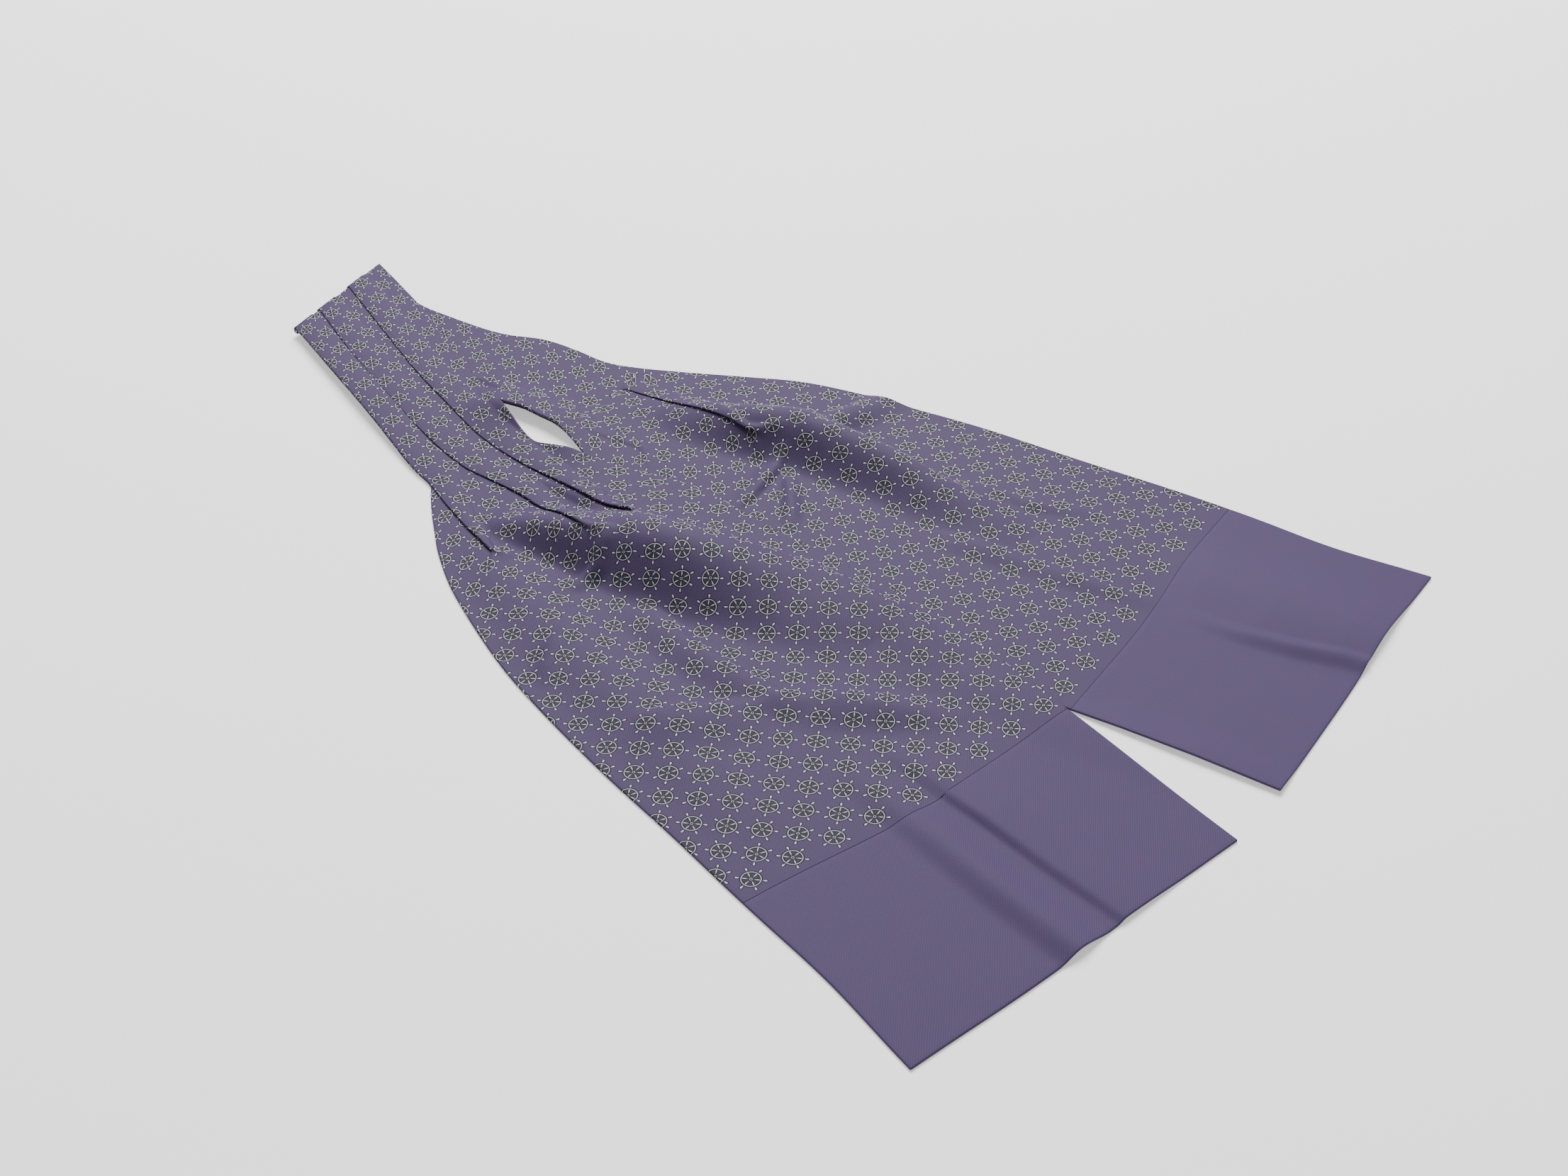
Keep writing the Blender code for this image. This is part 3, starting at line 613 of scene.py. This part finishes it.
REAR_BACK_FOLDS = (
    (  # runs out of the right pleat along the blade, steep towards the left
        Crest(37, 92, 0, 16, 14),
        Crest(40, 75, 2, 19, 16),
        Crest(45, 60, 5.8, 25, 18),
        Crest(51, 45, 9.4, 27, 20),
        Crest(57, 31, 12.6, 28, 22),
        Crest(63, 18, 14.4, 28.5, 22),
        Crest(67, 5, 15, 28.5, 21),
        Crest(71, -10, 14.2, 29, 19),
        Crest(74.5, -28, 13, 30, 17),
        Crest(77, -48, 11.2, 29, 15),
        Crest(78, -70, 7.8, 28, 15),
        Crest(78, -92, 4, 26, 18),
        Crest(76, -120, 0, 26, 20),
    ),
    (  # its arm to the right edge
        Crest(66, 19, 0, 14, 9),
        Crest(78, 11, 3, 15, 10),
        Crest(90, 6, 4.5, 16, 11),
        Crest(102, 3, 3.8, 16, 11),
        Crest(118, 0, 2, 16, 11),
    ),
    (  # a fine crease across the hollow
        Crest(0, -9, 0, 3, 8),
        Crest(12, -8, 1.3, 3, 9),
        Crest(26, -4.5, 2.2, 3.4, 10),
        Crest(40, -1, 2.5, 3.4, 10),
        Crest(53, 4, 0, 3, 8),
    ),
    (
        Crest(8, -39, 0, 6, 5),
        Crest(19, -30, 1.8, 7, 5),
        Crest(29, -20, 2.5, 8, 4.5),
        Crest(38, -11, 1.5, 6, 4),
        Crest(44, -4, 0, 5, 4),
    ),
    (  # down the middle of the blade to the seam
        Crest(50, -80, 0, 10, 6),
        Crest(56, -99, 1.4, 12, 6),
        Crest(61, -117, 1.8, 12, 7),
        Crest(66, -134, 1.3, 12, 6),
        Crest(70, -151, 1.7, 11, 7),
        Crest(75, -171, 1.1, 10, 6),
        Crest(79, -190, 0, 9, 6),
    ),
    (
        Crest(88, -64, 0, 7, 6),
        Crest(97, -84, 1.1, 8, 6),
        Crest(101, -106, 1.4, 8, 7),
        Crest(110, -122, 0.8, 8, 6),
        Crest(118, -136, 0, 7, 5),
    ),
    (  # a light crease on the plain end
        Crest(83, -196, 0, 9, 5),
        Crest(87, -222, 1.1, 9, 4.5),
        Crest(95, -246, 1.6, 9, 4.5),
        Crest(103, -264, 1.5, 9, 4.5),
        Crest(108, -280, 1.0, 8, 4.5),
    ),
)


def rear_top(points):
    """The height of the tube's middle that the rear half's upper side follows."""
    return rear_tube(points) + fold_heights(points, REAR_TUBE_FOLDS + REAR_BACK_FOLDS)


def fold_curve(pleat, table):
    """A pleat's fold from the neck to the plain end, and a little past both."""
    first, last = np.asarray(table[0], float), np.asarray(table[-1], float)
    begin = first[:2] + pleat.begins * (first[2:] - first[:2])
    end = last[:2] + pleat.ends * (last[2:] - last[:2])
    middle = read_rows(pleat.fold, np.linspace(0, len(pleat.fold) - 1, 8 * len(pleat.fold)))
    begin = middle[0] + PAST_ENDS * (begin - middle[0])
    end = middle[-1] + PAST_ENDS * (end - middle[-1])
    return np.vstack([begin, middle, end])


def crossing(curve, left, right):
    """The y at which a fold meets one line across the tube, and its distance from the left."""
    across = right - left
    side = across[0] * (curve[:, 1] - left[1]) - across[1] * (curve[:, 0] - left[0])
    i = np.nonzero(side[:-1] * side[1:] <= 0)[0][0]
    share = side[i] / (side[i] - side[i + 1])
    meet = curve[i] + share * (curve[i + 1] - curve[i])
    return meet[1], (meet - left) @ across / np.linalg.norm(across)


def pleat_section(at, state, spread, lap):
    """The places and levels of one pleat's layers, from left to right."""
    depth, puffed, opened = state
    turn = LAYER / 2 * puffed
    angles = np.linspace(-np.pi / 2, np.pi / 2, TURN_STEPS)
    middle = at + turn + WALL / 2
    spread_out = min(2 * opened, 1) ** 2
    slope = np.array([0.08, 0.3, 0.55, 0.8, 1])
    across = np.concatenate([
        middle + depth + turn * np.cos(angles),
        middle - turn * np.cos(angles),
        middle + depth + turn + PLEAT_SLOPE * slope,
    ])
    level = np.concatenate([
        turn + turn * np.sin(angles),
        3 * turn + turn * np.sin(angles),
        4 * turn * (1 - smoothstep(slope)),
    ])
    flat = np.linspace(at - spread, at + spread, len(across))
    across = across + spread_out * (flat - across)
    level = level * (1 - smoothstep((opened - FLATTENS_FROM) / FLATTENS_OVER))
    if lap == OVER_RIGHT:
        return 2 * at - across[::-1], level[::-1]
    return across, level


def pleated_section(width, folds, states, laps, strips):
    """One line across a pleated panel: the places, their levels, and which are in a pleat."""
    stops = [0, *folds, width]
    edge, drop = PANEL - PANEL * np.sin(ROLLED), -PANEL * (1 - np.cos(ROLLED))
    groups = [(edge, drop)]
    for number, (at, state, lap) in enumerate(zip(folds, states, laps)):
        spread = SPREAD * min(at - stops[number], stops[number + 2] - at, WIDEST_SPREAD)
        groups.append(pleat_section(at, state, max(spread, LEAST_SPREAD), lap))
    groups.append((width - edge[::-1], drop[::-1]))
    across, level, in_pleat = [edge], [drop], [np.zeros(len(edge), bool)]
    for number, count in enumerate(strips):
        share = np.arange(1, count + 1) / (count + 1)
        next_across, next_level = groups[number + 1]
        start, end = across[-1][-1], next_across[0]
        across += [start + share * (end - start), next_across]
        level += [np.zeros(count), next_level]
        in_pleat += [np.zeros(count, bool), np.full(len(next_across), number < len(folds))]
    return np.concatenate(across), np.concatenate(level), np.concatenate(in_pleat)


def pleated_panel(table, lines, pleats, strips, height_of, bends):
    """The middle of a pleated panel laid on a half, and which of its points are in a pleat."""
    curves = [fold_curve(pleat, table) for pleat in pleats]
    state_rows = [np.array(sorted(pleat.states)) for pleat in pleats]
    laps = [pleat.lap for pleat in pleats]
    plan, levels = [], []
    for line in lines:
        left, right = line[:2], line[2:]
        width = np.linalg.norm(right - left)
        met = [crossing(curve, left, right) for curve in curves]
        states = [[np.interp(y, rows[:, 0], rows[:, k]) for k in (1, 2, 3)]
                  for (y, _), rows in zip(met, state_rows)]
        folds = [at for _, at in met]
        across, level, in_pleat = pleated_section(width, folds, states, laps, strips)
        plan.append(left + np.outer(across / width, right - left))
        levels.append(level)
    middle = laid(np.array(plan), height_of, PANEL + np.array(levels), bends)
    return middle, in_pleat


def pleated_cut(middle, in_pleat, start, skew):
    """Where each point of a pleated panel lies on the cut, from the line where it begins."""
    across = from_middle(middle)
    along = start + skew * across[0] / CUT_WIDTH
    forward = np.diff(middle, axis=0)
    line = middle[1:, -1:] - middle[1:, :1]
    line /= np.linalg.norm(line, axis=2)[:, :, None]
    forward -= (forward * line).sum(axis=2)[:, :, None] * line
    columns = np.arange(middle.shape[1])
    between = columns[~in_pleat]
    lengths = np.linalg.norm(forward, axis=2)
    lengths = np.array([np.interp(columns, between, row[between]) for row in lengths])
    run = np.concatenate([np.zeros((1, middle.shape[1])), np.cumsum(lengths, axis=0)])
    along = along + run * ((NECK_TO_SEAM - along) / run[-1])
    return np.stack([across, along], axis=2)


NECK_SKEW = 39.0  # how much farther along the cut one end of the turn is than the other
REAR_STRIPS = (14, 16, 40)  # points across each strip between two pleats
REAR_PRINT = (13.8, 11.4)  # how the print falls on the cut

lines, _, _ = lines_across(REAR_HALF, TOP_SPACING, start=TOP_START, end=SEAM)
middle, in_pleat = pleated_panel(REAR_HALF, lines, REAR_PLEATS, REAR_STRIPS, rear_top, REAR_BENDS)
places = pleated_cut(middle, in_pleat, 0, NECK_SKEW)
cloth = add_cloth("rear_back_cloth", middle, places + REAR_PRINT)
dress(cloth, "rear_back", PRINTED,
      (CUT_WIDTH, NECK_TO_SEAM, CUT_WIDTH * NECK_TO_SEAM))

# ================================================================ the rear half's plain end
# A plain piece of the same twill on each side, joined to the print by a straight seam and
# turned in at the hem.
PURPLE = (0.065, 0.0505, 0.118)
PURPLE_WORN = (0.084, 0.0525, 0.123)
PLAIN = twill_material("plain_twill", PURPLE, PURPLE_WORN, printed=False)
END_LENGTH = 92.0
END_SPACING, END_COLUMNS = 1.5, 110  # between a plain end's lines, and points on each
SEAM_DIP, SEAM_REACH = 0.16, 1.2  # how far the seam draws the cloth in, and how far from it


def end_panel(table, height_of, bends):
    """The upper piece of a plain end: rolled down round both sides and round the hem."""
    lines, places, length = lines_across(table, END_SPACING, start=SEAM, end=PANEL)
    places = np.concatenate([places, np.full(len(ROLLED) - 1, places[-1])])
    hem_angle = np.concatenate([np.zeros(len(lines)), ROLLED[-2::-1]])[:, None]
    side_angle = np.concatenate([ROLLED, np.zeros(END_COLUMNS), ROLLED[::-1]])[None]
    angle = np.maximum(hem_angle, side_angle)
    slant = np.maximum(np.hypot(hem_angle, side_angle), 1e-9)
    out = PANEL * np.sin(angle)
    from_seam = places[:, None] + out * hem_angle / slant
    start, end = np.array(table[0]), np.array(table[-1])
    line = start + (from_seam / length)[..., None] * (end - start)
    left, right = line[..., :2], line[..., 2:]
    width = np.linalg.norm(right - left, axis=2)
    strips = (len(ROLLED), END_COLUMNS, len(ROLLED))
    share = np.repeat([0.0, 1.0, 1.0], strips)
    share[len(ROLLED) : -len(ROLLED)] = np.linspace(0, 1, END_COLUMNS + 2)[1:-1]
    outward = np.repeat([-1, 0, 1], strips)
    across = PANEL + share * (width - 2 * PANEL) + outward * out * side_angle / slant
    plan = left + (across / width)[..., None] * (right - left)
    dip = SEAM_DIP * (1 - smoothstep(from_seam / SEAM_REACH)) * np.cos(angle / 2) ** 4
    middle = laid(plan, height_of, PANEL * np.cos(angle) - dip, bends)
    return middle, from_seam[:, len(ROLLED)]


def add_end(name, node, middle, places):
    """One piece of a plain end, cut square and sewn to the printed panel at its seam."""
    cloth = add_cloth(name, middle, cut_places(middle, NECK_TO_SEAM + places))
    area = CUT_WIDTH * END_LENGTH
    dress(cloth, node, PLAIN, (CUT_WIDTH, END_LENGTH, area))


REAR_HEM = Across(17.9, -287.4, 178.2, -265.2)
REAR_END = (REAR_SEAM, REAR_HEM)

lines, places, _ = lines_across(REAR_END, UNDER_SPACING, start=UNDER_SEAM, end=BESIDE_EDGE)
middle = lower_panel(lines, rear_under, REAR_BENDS)
add_end("rear_end_face_cloth", "rear_end_face", middle, places)

middle, places = end_panel(REAR_END, rear_top, REAR_BENDS)
add_end("rear_end_back_cloth", "rear_end_back", middle, places)

# ================================================================ the front half's back panel
# The rear half's back panel goes on round the turn at the neck and lies under the front
# half, on the rear half and on the surface beside it.
FRONT_SEAM = Across(-163.4, -175.5, -1.1, -200)
FRONT_HALF = (
    NECK,
    Across(-45.4, 248, 22.6, 258),
    Across(-51.5, 223.5, 14.5, 228),
    Across(-60, 189, 0.5, 188),
    Across(-67.8, 157.5, -10, 150),
    Across(-75.6, 126, -18, 121),
    Across(-78.2, 109, -22.4, 101),  # the end of the neckband's stitching
    Across(-83, 102, -20.8, 92),
    Across(-90.5, 92, -16.5, 80),
    Across(-100, 78, -12.5, 63),
    Across(-109.5, 63, -6, 45),
    Across(-122, 37, 3, 17.5),
    Across(-137, -8, 5, -30),
    Across(-145, -44, 7, -67),
    Across(-152.3, -90, 8.5, -114),
    Across(-157.5, -134, 5, -158.5),
    FRONT_SEAM,
)
LAID_GAP = 0.3  # air between the two halves
STACKED = 2 * PANEL + WALL + LAID_GAP  # what one tube adds to the height of the one on it
HELD_FRONT = HELD_REAR + STACKED
BAND_DOWN, BAND_UP = 98.0, 186.0  # from where to where, in y, the turn holds up the neckband
EDGE_REACH, EDGE_RAMP = 3.0, 25.0  # how the front half comes down beside the rear half's edge
FRONT_TUBE_FOLDS = (
    (  # reaches the hem of the plain end
        Crest(-84, -150, 0, 12, 14),
        Crest(-88, -176, 1.2, 12, 14),
        Crest(-91, -206, 2, 12, 14),
        Crest(-95, -240, 2.6, 12, 15),
        Crest(-99, -292, 2.8, 12, 16),
    ),
)
FRONT_BENDS = (
    Bend(-84, -186, 52, 46, 0, -5.5),
    Bend(-171, -222, 30, 34, 2, 0),
    Bend(-118, -273, 44, 16, 0, -1.2),
)
NECK_TURN = np.radians(np.arange(180, 0, -10))  # half a circle, up from below
BACK_ROUND_TURN = 4.0  # the length of the cut that goes round the turn


def outline(table):
    """A half's outline, down its left edge and up its right edge."""
    across = read_rows(table, np.arange(0, len(table) - 0.9, 0.5))
    return np.vstack([across[:, :2], across[::-1, 2:]])


REAR_OUTLINE = outline((*REAR_HALF, REAR_HEM))


def depth_inside(points, polygon):
    """The distance to a closed outline, positive inside it."""
    distance = np.full(len(points), np.inf)
    inside = np.zeros(len(points), bool)
    for start, end in zip(polygon, np.roll(polygon, -1, axis=0)):
        run = end - start
        along = np.clip((points - start) @ run / max(run @ run, 1e-9), 0, 1)
        away = points - start - along[:, None] * run
        distance = np.minimum(distance, np.hypot(away[:, 0], away[:, 1]))
        crosses = (start[1] > points[:, 1]) != (end[1] > points[:, 1])
        level = (points[:, 1] - start[1]) / np.where(run[1] == 0, 1, run[1])
        inside ^= crosses & (points[:, 0] < start[0] + level * run[0])
    return np.where(inside, distance, -distance)


def front_tube(points):
    """The height of the middle of the front half, which lies over the rear half."""
    on_rear = smoothstep(1 + (depth_inside(points, REAR_OUTLINE) + EDGE_REACH) / EDGE_RAMP)
    edge_lift = fold_height(points, REAR_EDGE_FOLD)
    over = on_rear * (STACKED + rear_tube(points) - RESTING + edge_lift)
    held = HELD_FRONT * smoothstep((points[:, 1] - BAND_DOWN) / (BAND_UP - BAND_DOWN))
    return RESTING + np.maximum(over, held)


def front_under(points):
    """The height of the tube's middle that the front half's lower side follows."""
    return front_tube(points) + BACK_SHARE * fold_heights(points, FRONT_TUBE_FOLDS)


def neck_turn(across, level, side):
    """A panel's middle round the turn at the neck, from below to the top."""
    base = NECK_LEFT + np.outer(across, NECK_AXIS)
    middle = RESTING + (HELD_REAR + HELD_FRONT) / 2
    reach = (HELD_FRONT - HELD_REAR) / 2 + side * PANEL + level
    rows = []
    for angle in NECK_TURN:
        plan = base + np.outer(reach * np.sin(angle), NECK_OUT)
        rows.append(np.column_stack([plan, middle + reach * np.cos(angle)]))
    return np.array(rows)


NECK_WIDTH = np.linalg.norm(NECK_RIGHT - NECK_LEFT)
inner = np.linspace(BESIDE_EDGE, NECK_WIDTH - BESIDE_EDGE, UNDER_COLUMNS)
lines, from_neck, _ = lines_across(FRONT_HALF, UNDER_SPACING, end=UNDER_SEAM)
middle = lower_panel(lines, front_under, FRONT_BENDS)
turn = neck_turn(inner, np.zeros(UNDER_COLUMNS), -1)
middle = np.concatenate([turn, middle])
from_neck = np.concatenate([np.linspace(-BACK_ROUND_TURN, -0.1, len(turn)), from_neck])
cloth = add_cloth("front_back_cloth", middle, cut_places(middle, from_neck))
dress(cloth, "front_back", PRINTED,
      (CUT_WIDTH, NECK_TO_SEAM, shown_area(middle)))

# ================================================================ the front half's face panel
# Three knife pleats are stitched down along the neckband, each over the cloth to its left,
# and open on the blade. The panel turns at the neck over everything else.
FRONT_PLEATS = (
    Pleat(
        OVER_LEFT, 0, 0.25,
        (
            Point(-51.5, 223.5), Point(-67.8, 157.5), Point(-75.6, 126),
            Point(-77.6, 112), Point(-79.6, 103.7), Point(-82.8, 92.6),
            Point(-85.8, 80.5), Point(-88.4, 70.1), Point(-90.6, 58.6),
            Point(-92.9, 47.2), Point(-94.5, 32),
        ),
        (
            State(112, 13, 1, 0), State(88, 8, 1.4, 0), State(64, 3, 2, 0),
            State(50, 0, 2.2, 0), State(32, 0, 2, 1),
        ),
    ),
    Pleat(
        OVER_LEFT, 0.27, 0.48,
        (
            Point(-36.8, 223.1), Point(-49.5, 171.7), Point(-56.3, 136),
            Point(-58.8, 109), Point(-57.5, 94), Point(-55.8, 79),
            Point(-55.3, 66), Point(-57, 53), Point(-60.2, 40),
            Point(-61.5, 25), Point(-61, 8),
        ),
        (
            State(112, 13, 1, 0), State(84, 11, 1.4, 0), State(44, 6, 2.2, 0),
            State(23, 0, 2.4, 0), State(-4, 0, 2, 1),
        ),
    ),
    Pleat(
        OVER_LEFT, 0.62, 0.86,
        (
            Point(-17.8, 210.6), Point(-26.3, 181), Point(-32.4, 150.8),
            Point(-37.1, 124.8), Point(-38.3, 104.5), Point(-38.2, 87.6),
            Point(-37.6, 69), Point(-37.3, 50.1), Point(-38, 27),
            Point(-37.5, 8), Point(-33, -15), Point(-22, -31),
            Point(-11, -50), Point(-6, -80), Point(-7, -110),
            Point(-12, -150),
        ),
        (
            State(112, 13, 1, 0), State(84, 10, 1.4, 0), State(44, 6, 2.4, 0),
            State(19, 0, 3, 0), State(-6, 0, 2, 1),
        ),
    ),
)
FRONT_FACE_FOLDS = (
    (  # runs out of the middle pleat, steep towards the left
        Crest(-79, 70, 0, 10, 14),
        Crest(-73, 54, 5.5, 14, 20),
        Crest(-66.5, 39, 9.8, 18, 24),
        Crest(-61, 25, 12.6, 21, 30),
        Crest(-56, 10, 14, 24.5, 36),
        Crest(-52.5, -3, 14.6, 26.5, 40),
        Crest(-49.5, -16, 14.4, 28, 42),
        Crest(-46.5, -29, 13.4, 28.5, 42),
        Crest(-43, -43, 11.2, 28, 40),
        Crest(-39, -59, 8, 27, 36),
        Crest(-35, -78, 4.5, 25, 30),
        Crest(-31, -98, 2.2, 23, 24),
        Crest(-28, -118, 0, 20, 20),
    ),
    (  # runs out of the right pleat and dies out along the right edge
        Crest(-45, 28, 0, 18, 10),
        Crest(-41, 9, 3, 22, 13),
        Crest(-36.5, -8, 4.8, 26, 15),
        Crest(-31, -20, 5.8, 28, 16),
        Crest(-24, -33, 6.6, 30, 16),
        Crest(-17, -49, 6.8, 31, 14),
        Crest(-10, -67, 6.4, 31, 12),
        Crest(-7, -84, 5.5, 31, 11),
        Crest(-5, -100, 4.4, 30, 11),
        Crest(-4, -116, 3, 26, 11),
        Crest(-6, -134, 1.8, 22, 11),
        Crest(-8, -152, 0, 20, 10),
    ),
    (  # lifts the end of the right pleat
        Crest(-41, 86, 0, 5, 12),
        Crest(-39, 62, 1.2, 5, 13),
        Crest(-38, 40, 2, 5, 14),
        Crest(-37, 24, 1.6, 5, 14),
        Crest(-35, 8, 0, 5, 12),
    ),
    (  # the left side stands up a little from its edge
        Crest(-84, 78, 0, 12, 16),
        Crest(-98, 34, 1.9, 22, 22),
        Crest(-107, -14, 2.7, 28, 24),
        Crest(-116, -68, 2.5, 28, 26),
        Crest(-126, -118, 1.5, 24, 26),
        Crest(-138, -160, 0, 14, 24),
    ),
    (  # a fine crease that runs out of the hollow towards the left edge
        Crest(-57, 15, 0, 3, 6),
        Crest(-63, 7, 2.4, 3.4, 7),
        Crest(-71, 3, 2.8, 3.6, 8),
        Crest(-81, 4, 1.8, 4, 9),
        Crest(-92, 9, 0, 4, 9),
    ),
    (  # beside the steep fold, down the middle of the blade
        Crest(-73, -20, 0, 16, 7),
        Crest(-75, -43, 2.3, 18, 6.5),
        Crest(-77, -66, 3.0, 19, 6.5),
        Crest(-76, -88, 2.8, 18, 6.5),
        Crest(-75, -108, 2.0, 16, 7),
        Crest(-72, -124, 0, 12, 7),
    ),
    (  # crosses the blade towards the seam
        Crest(-82, -106, 0, 18, 9),
        Crest(-69, -117, 2.4, 22, 9),
        Crest(-58, -129, 3.6, 23, 9),
        Crest(-49, -143, 3.4, 20, 9),
        Crest(-41, -158, 2.4, 17, 10),
        Crest(-35, -176, 0, 14, 9),
    ),
    (
        Crest(-126, -78, 0, 18, 6),
        Crest(-116, -84, 1.9, 22, 6.5),
        Crest(-106, -90, 3.2, 26, 7),
        Crest(-97, -97, 3.0, 28, 7),
        Crest(-88, -105, 1.4, 26, 7),
        Crest(-80, -112, 0, 20, 7),
    ),
    (
        Crest(-136, -36, 0, 9, 5),
        Crest(-127, -28, 1.2, 10, 6),
        Crest(-117, -21, 1.4, 10, 6),
        Crest(-106, -17, 0.8, 9, 6),
        Crest(-97, -16, 0, 8, 5),
    ),
    (  # a sharper crease on the plain end, from the seam to the hem
        Crest(-68, -158, 0, 4.5, 34),
        Crest(-69, -180, 1.3, 4.5, 38),
        Crest(-70.5, -214, 1.9, 4.5, 40),
        Crest(-73, -248, 1.7, 5, 40),
        Crest(-75, -292, 1.3, 5, 38),
    ),
)
FRONT_STRIPS = (12, 14, 14, 20)
FRONT_PRINT = (17.1, 10.2)
FACE_ROUND_TURN = 5.0  # more of the cut than on the back panel, as it turns outside it


def front_top(points):
    """The height of the tube's middle that the front half's upper side follows."""
    return front_tube(points) + fold_heights(points, FRONT_TUBE_FOLDS + FRONT_FACE_FOLDS)


lines, _, _ = lines_across(FRONT_HALF, TOP_SPACING, end=SEAM)
middle, in_pleat = pleated_panel(
    FRONT_HALF, lines, FRONT_PLEATS, FRONT_STRIPS, front_top, FRONT_BENDS)
curves = [fold_curve(pleat, FRONT_HALF) for pleat in FRONT_PLEATS]
folds = [crossing(curve, NECK_LEFT, NECK_RIGHT)[1] for curve in curves]
states = [pleat.states[0][1:] for pleat in FRONT_PLEATS]
laps = [pleat.lap for pleat in FRONT_PLEATS]
across, level, _ = pleated_section(NECK_WIDTH, folds, states, laps, FRONT_STRIPS)
turn = neck_turn(across, level, 1)
middle = np.concatenate([turn, middle])
places = pleated_cut(middle, in_pleat, -FACE_ROUND_TURN, -NECK_SKEW)
cloth = add_cloth("front_face_cloth", middle, places + FRONT_PRINT)
dress(cloth, "front_face", PRINTED,
      (CUT_WIDTH, NECK_TO_SEAM, CUT_WIDTH * NECK_TO_SEAM))

# ================================================================ the front half's plain end
# Two plain pieces of the same twill, made as the rear half's are: sewn to the print by a
# straight seam and turned in at the hem.
FRONT_HEM = Across(-177.7, -266.8, -14.5, -289.2)
FRONT_END = (FRONT_SEAM, FRONT_HEM)

lines, places, _ = lines_across(FRONT_END, UNDER_SPACING, start=UNDER_SEAM, end=BESIDE_EDGE)
middle = lower_panel(lines, front_under, FRONT_BENDS)
add_end("front_end_back_cloth", "front_end_back", middle, places)

middle, places = end_panel(FRONT_END, front_top, FRONT_BENDS)
add_end("front_end_face_cloth", "front_end_face", middle, places)

# ================================================================ the surface, light and camera
# A pale matt surface, one broad soft light from above and behind, and the view from the
# left of the hems.
FLOOR_WHITE = (0.95, 0.95, 0.95)
FLOOR_GLOW = 0.5
FLOOR_SIDE = 6.0
FLOOR_GRAIN, FLOOR_DULLING = 40, (0.1, 0.6)

bpy.ops.mesh.primitive_plane_add(size=FLOOR_SIDE)
floor = bpy.context.object
floor.name = "floor"
paint = bpy.data.materials.new("floor_paint")
paint.use_nodes = True
tree = paint.node_tree
maths = node_maths(tree)
shader = tree.nodes["Principled BSDF"]
noise = tree.nodes.new("ShaderNodeTexNoise")
noise.inputs["Scale"].default_value = FLOOR_GRAIN
shader.inputs["Base Color"].default_value = (*FLOOR_WHITE, 1)
shader.inputs["Emission Color"].default_value = (1, 1, 1, 1)
shader.inputs["Emission Strength"].default_value = FLOOR_GLOW
tree.links.new(maths("MULTIPLY_ADD", noise.outputs[0], *FLOOR_DULLING), shader.inputs["Roughness"])
floor.data.materials.append(paint)

WINDOW_PLACE, WINDOW_SIZE, WINDOW_POWER = (1.36, 1.2, 2.16), 2.1, 166
ROOM_LIGHT = 0.33

lamp = bpy.data.lights.new("window", "AREA")
lamp.shape = "DISK"
lamp.size = WINDOW_SIZE
lamp.energy = WINDOW_POWER
window = bpy.data.objects.new("window", lamp)
window.location = WINDOW_PLACE
aim = bpy.data.objects.new("window_aim", None)
for item in (window, aim):
    bpy.context.scene.collection.objects.link(item)
track = window.constraints.new("TRACK_TO")
track.target = aim
track.track_axis = "TRACK_NEGATIVE_Z"
track.up_axis = "UP_Y"

world = bpy.data.worlds.new("studio")
world.use_nodes = True
background = world.node_tree.nodes["Background"]
background.inputs["Color"].default_value = (1, 1, 1, 1)
background.inputs["Strength"].default_value = ROOM_LIGHT
bpy.context.scene.world = world

CAMERA_PLACE = (-0.492, -0.504, 0.5245)
CAMERA_DOWN, CAMERA_TURN = 39.08, -46.9  # degrees
FOCAL_LENGTH, SENSOR_WIDTH = 43.94, 36.0  # millimetres

lens = bpy.data.cameras.new("camera")
lens.lens = FOCAL_LENGTH
lens.sensor_width = SENSOR_WIDTH
camera = bpy.data.objects.new("camera", lens)
camera.location = CAMERA_PLACE
camera.rotation_euler = np.radians((90 - CAMERA_DOWN, 0, CAMERA_TURN))
bpy.context.scene.collection.objects.link(camera)
bpy.context.scene.camera = camera
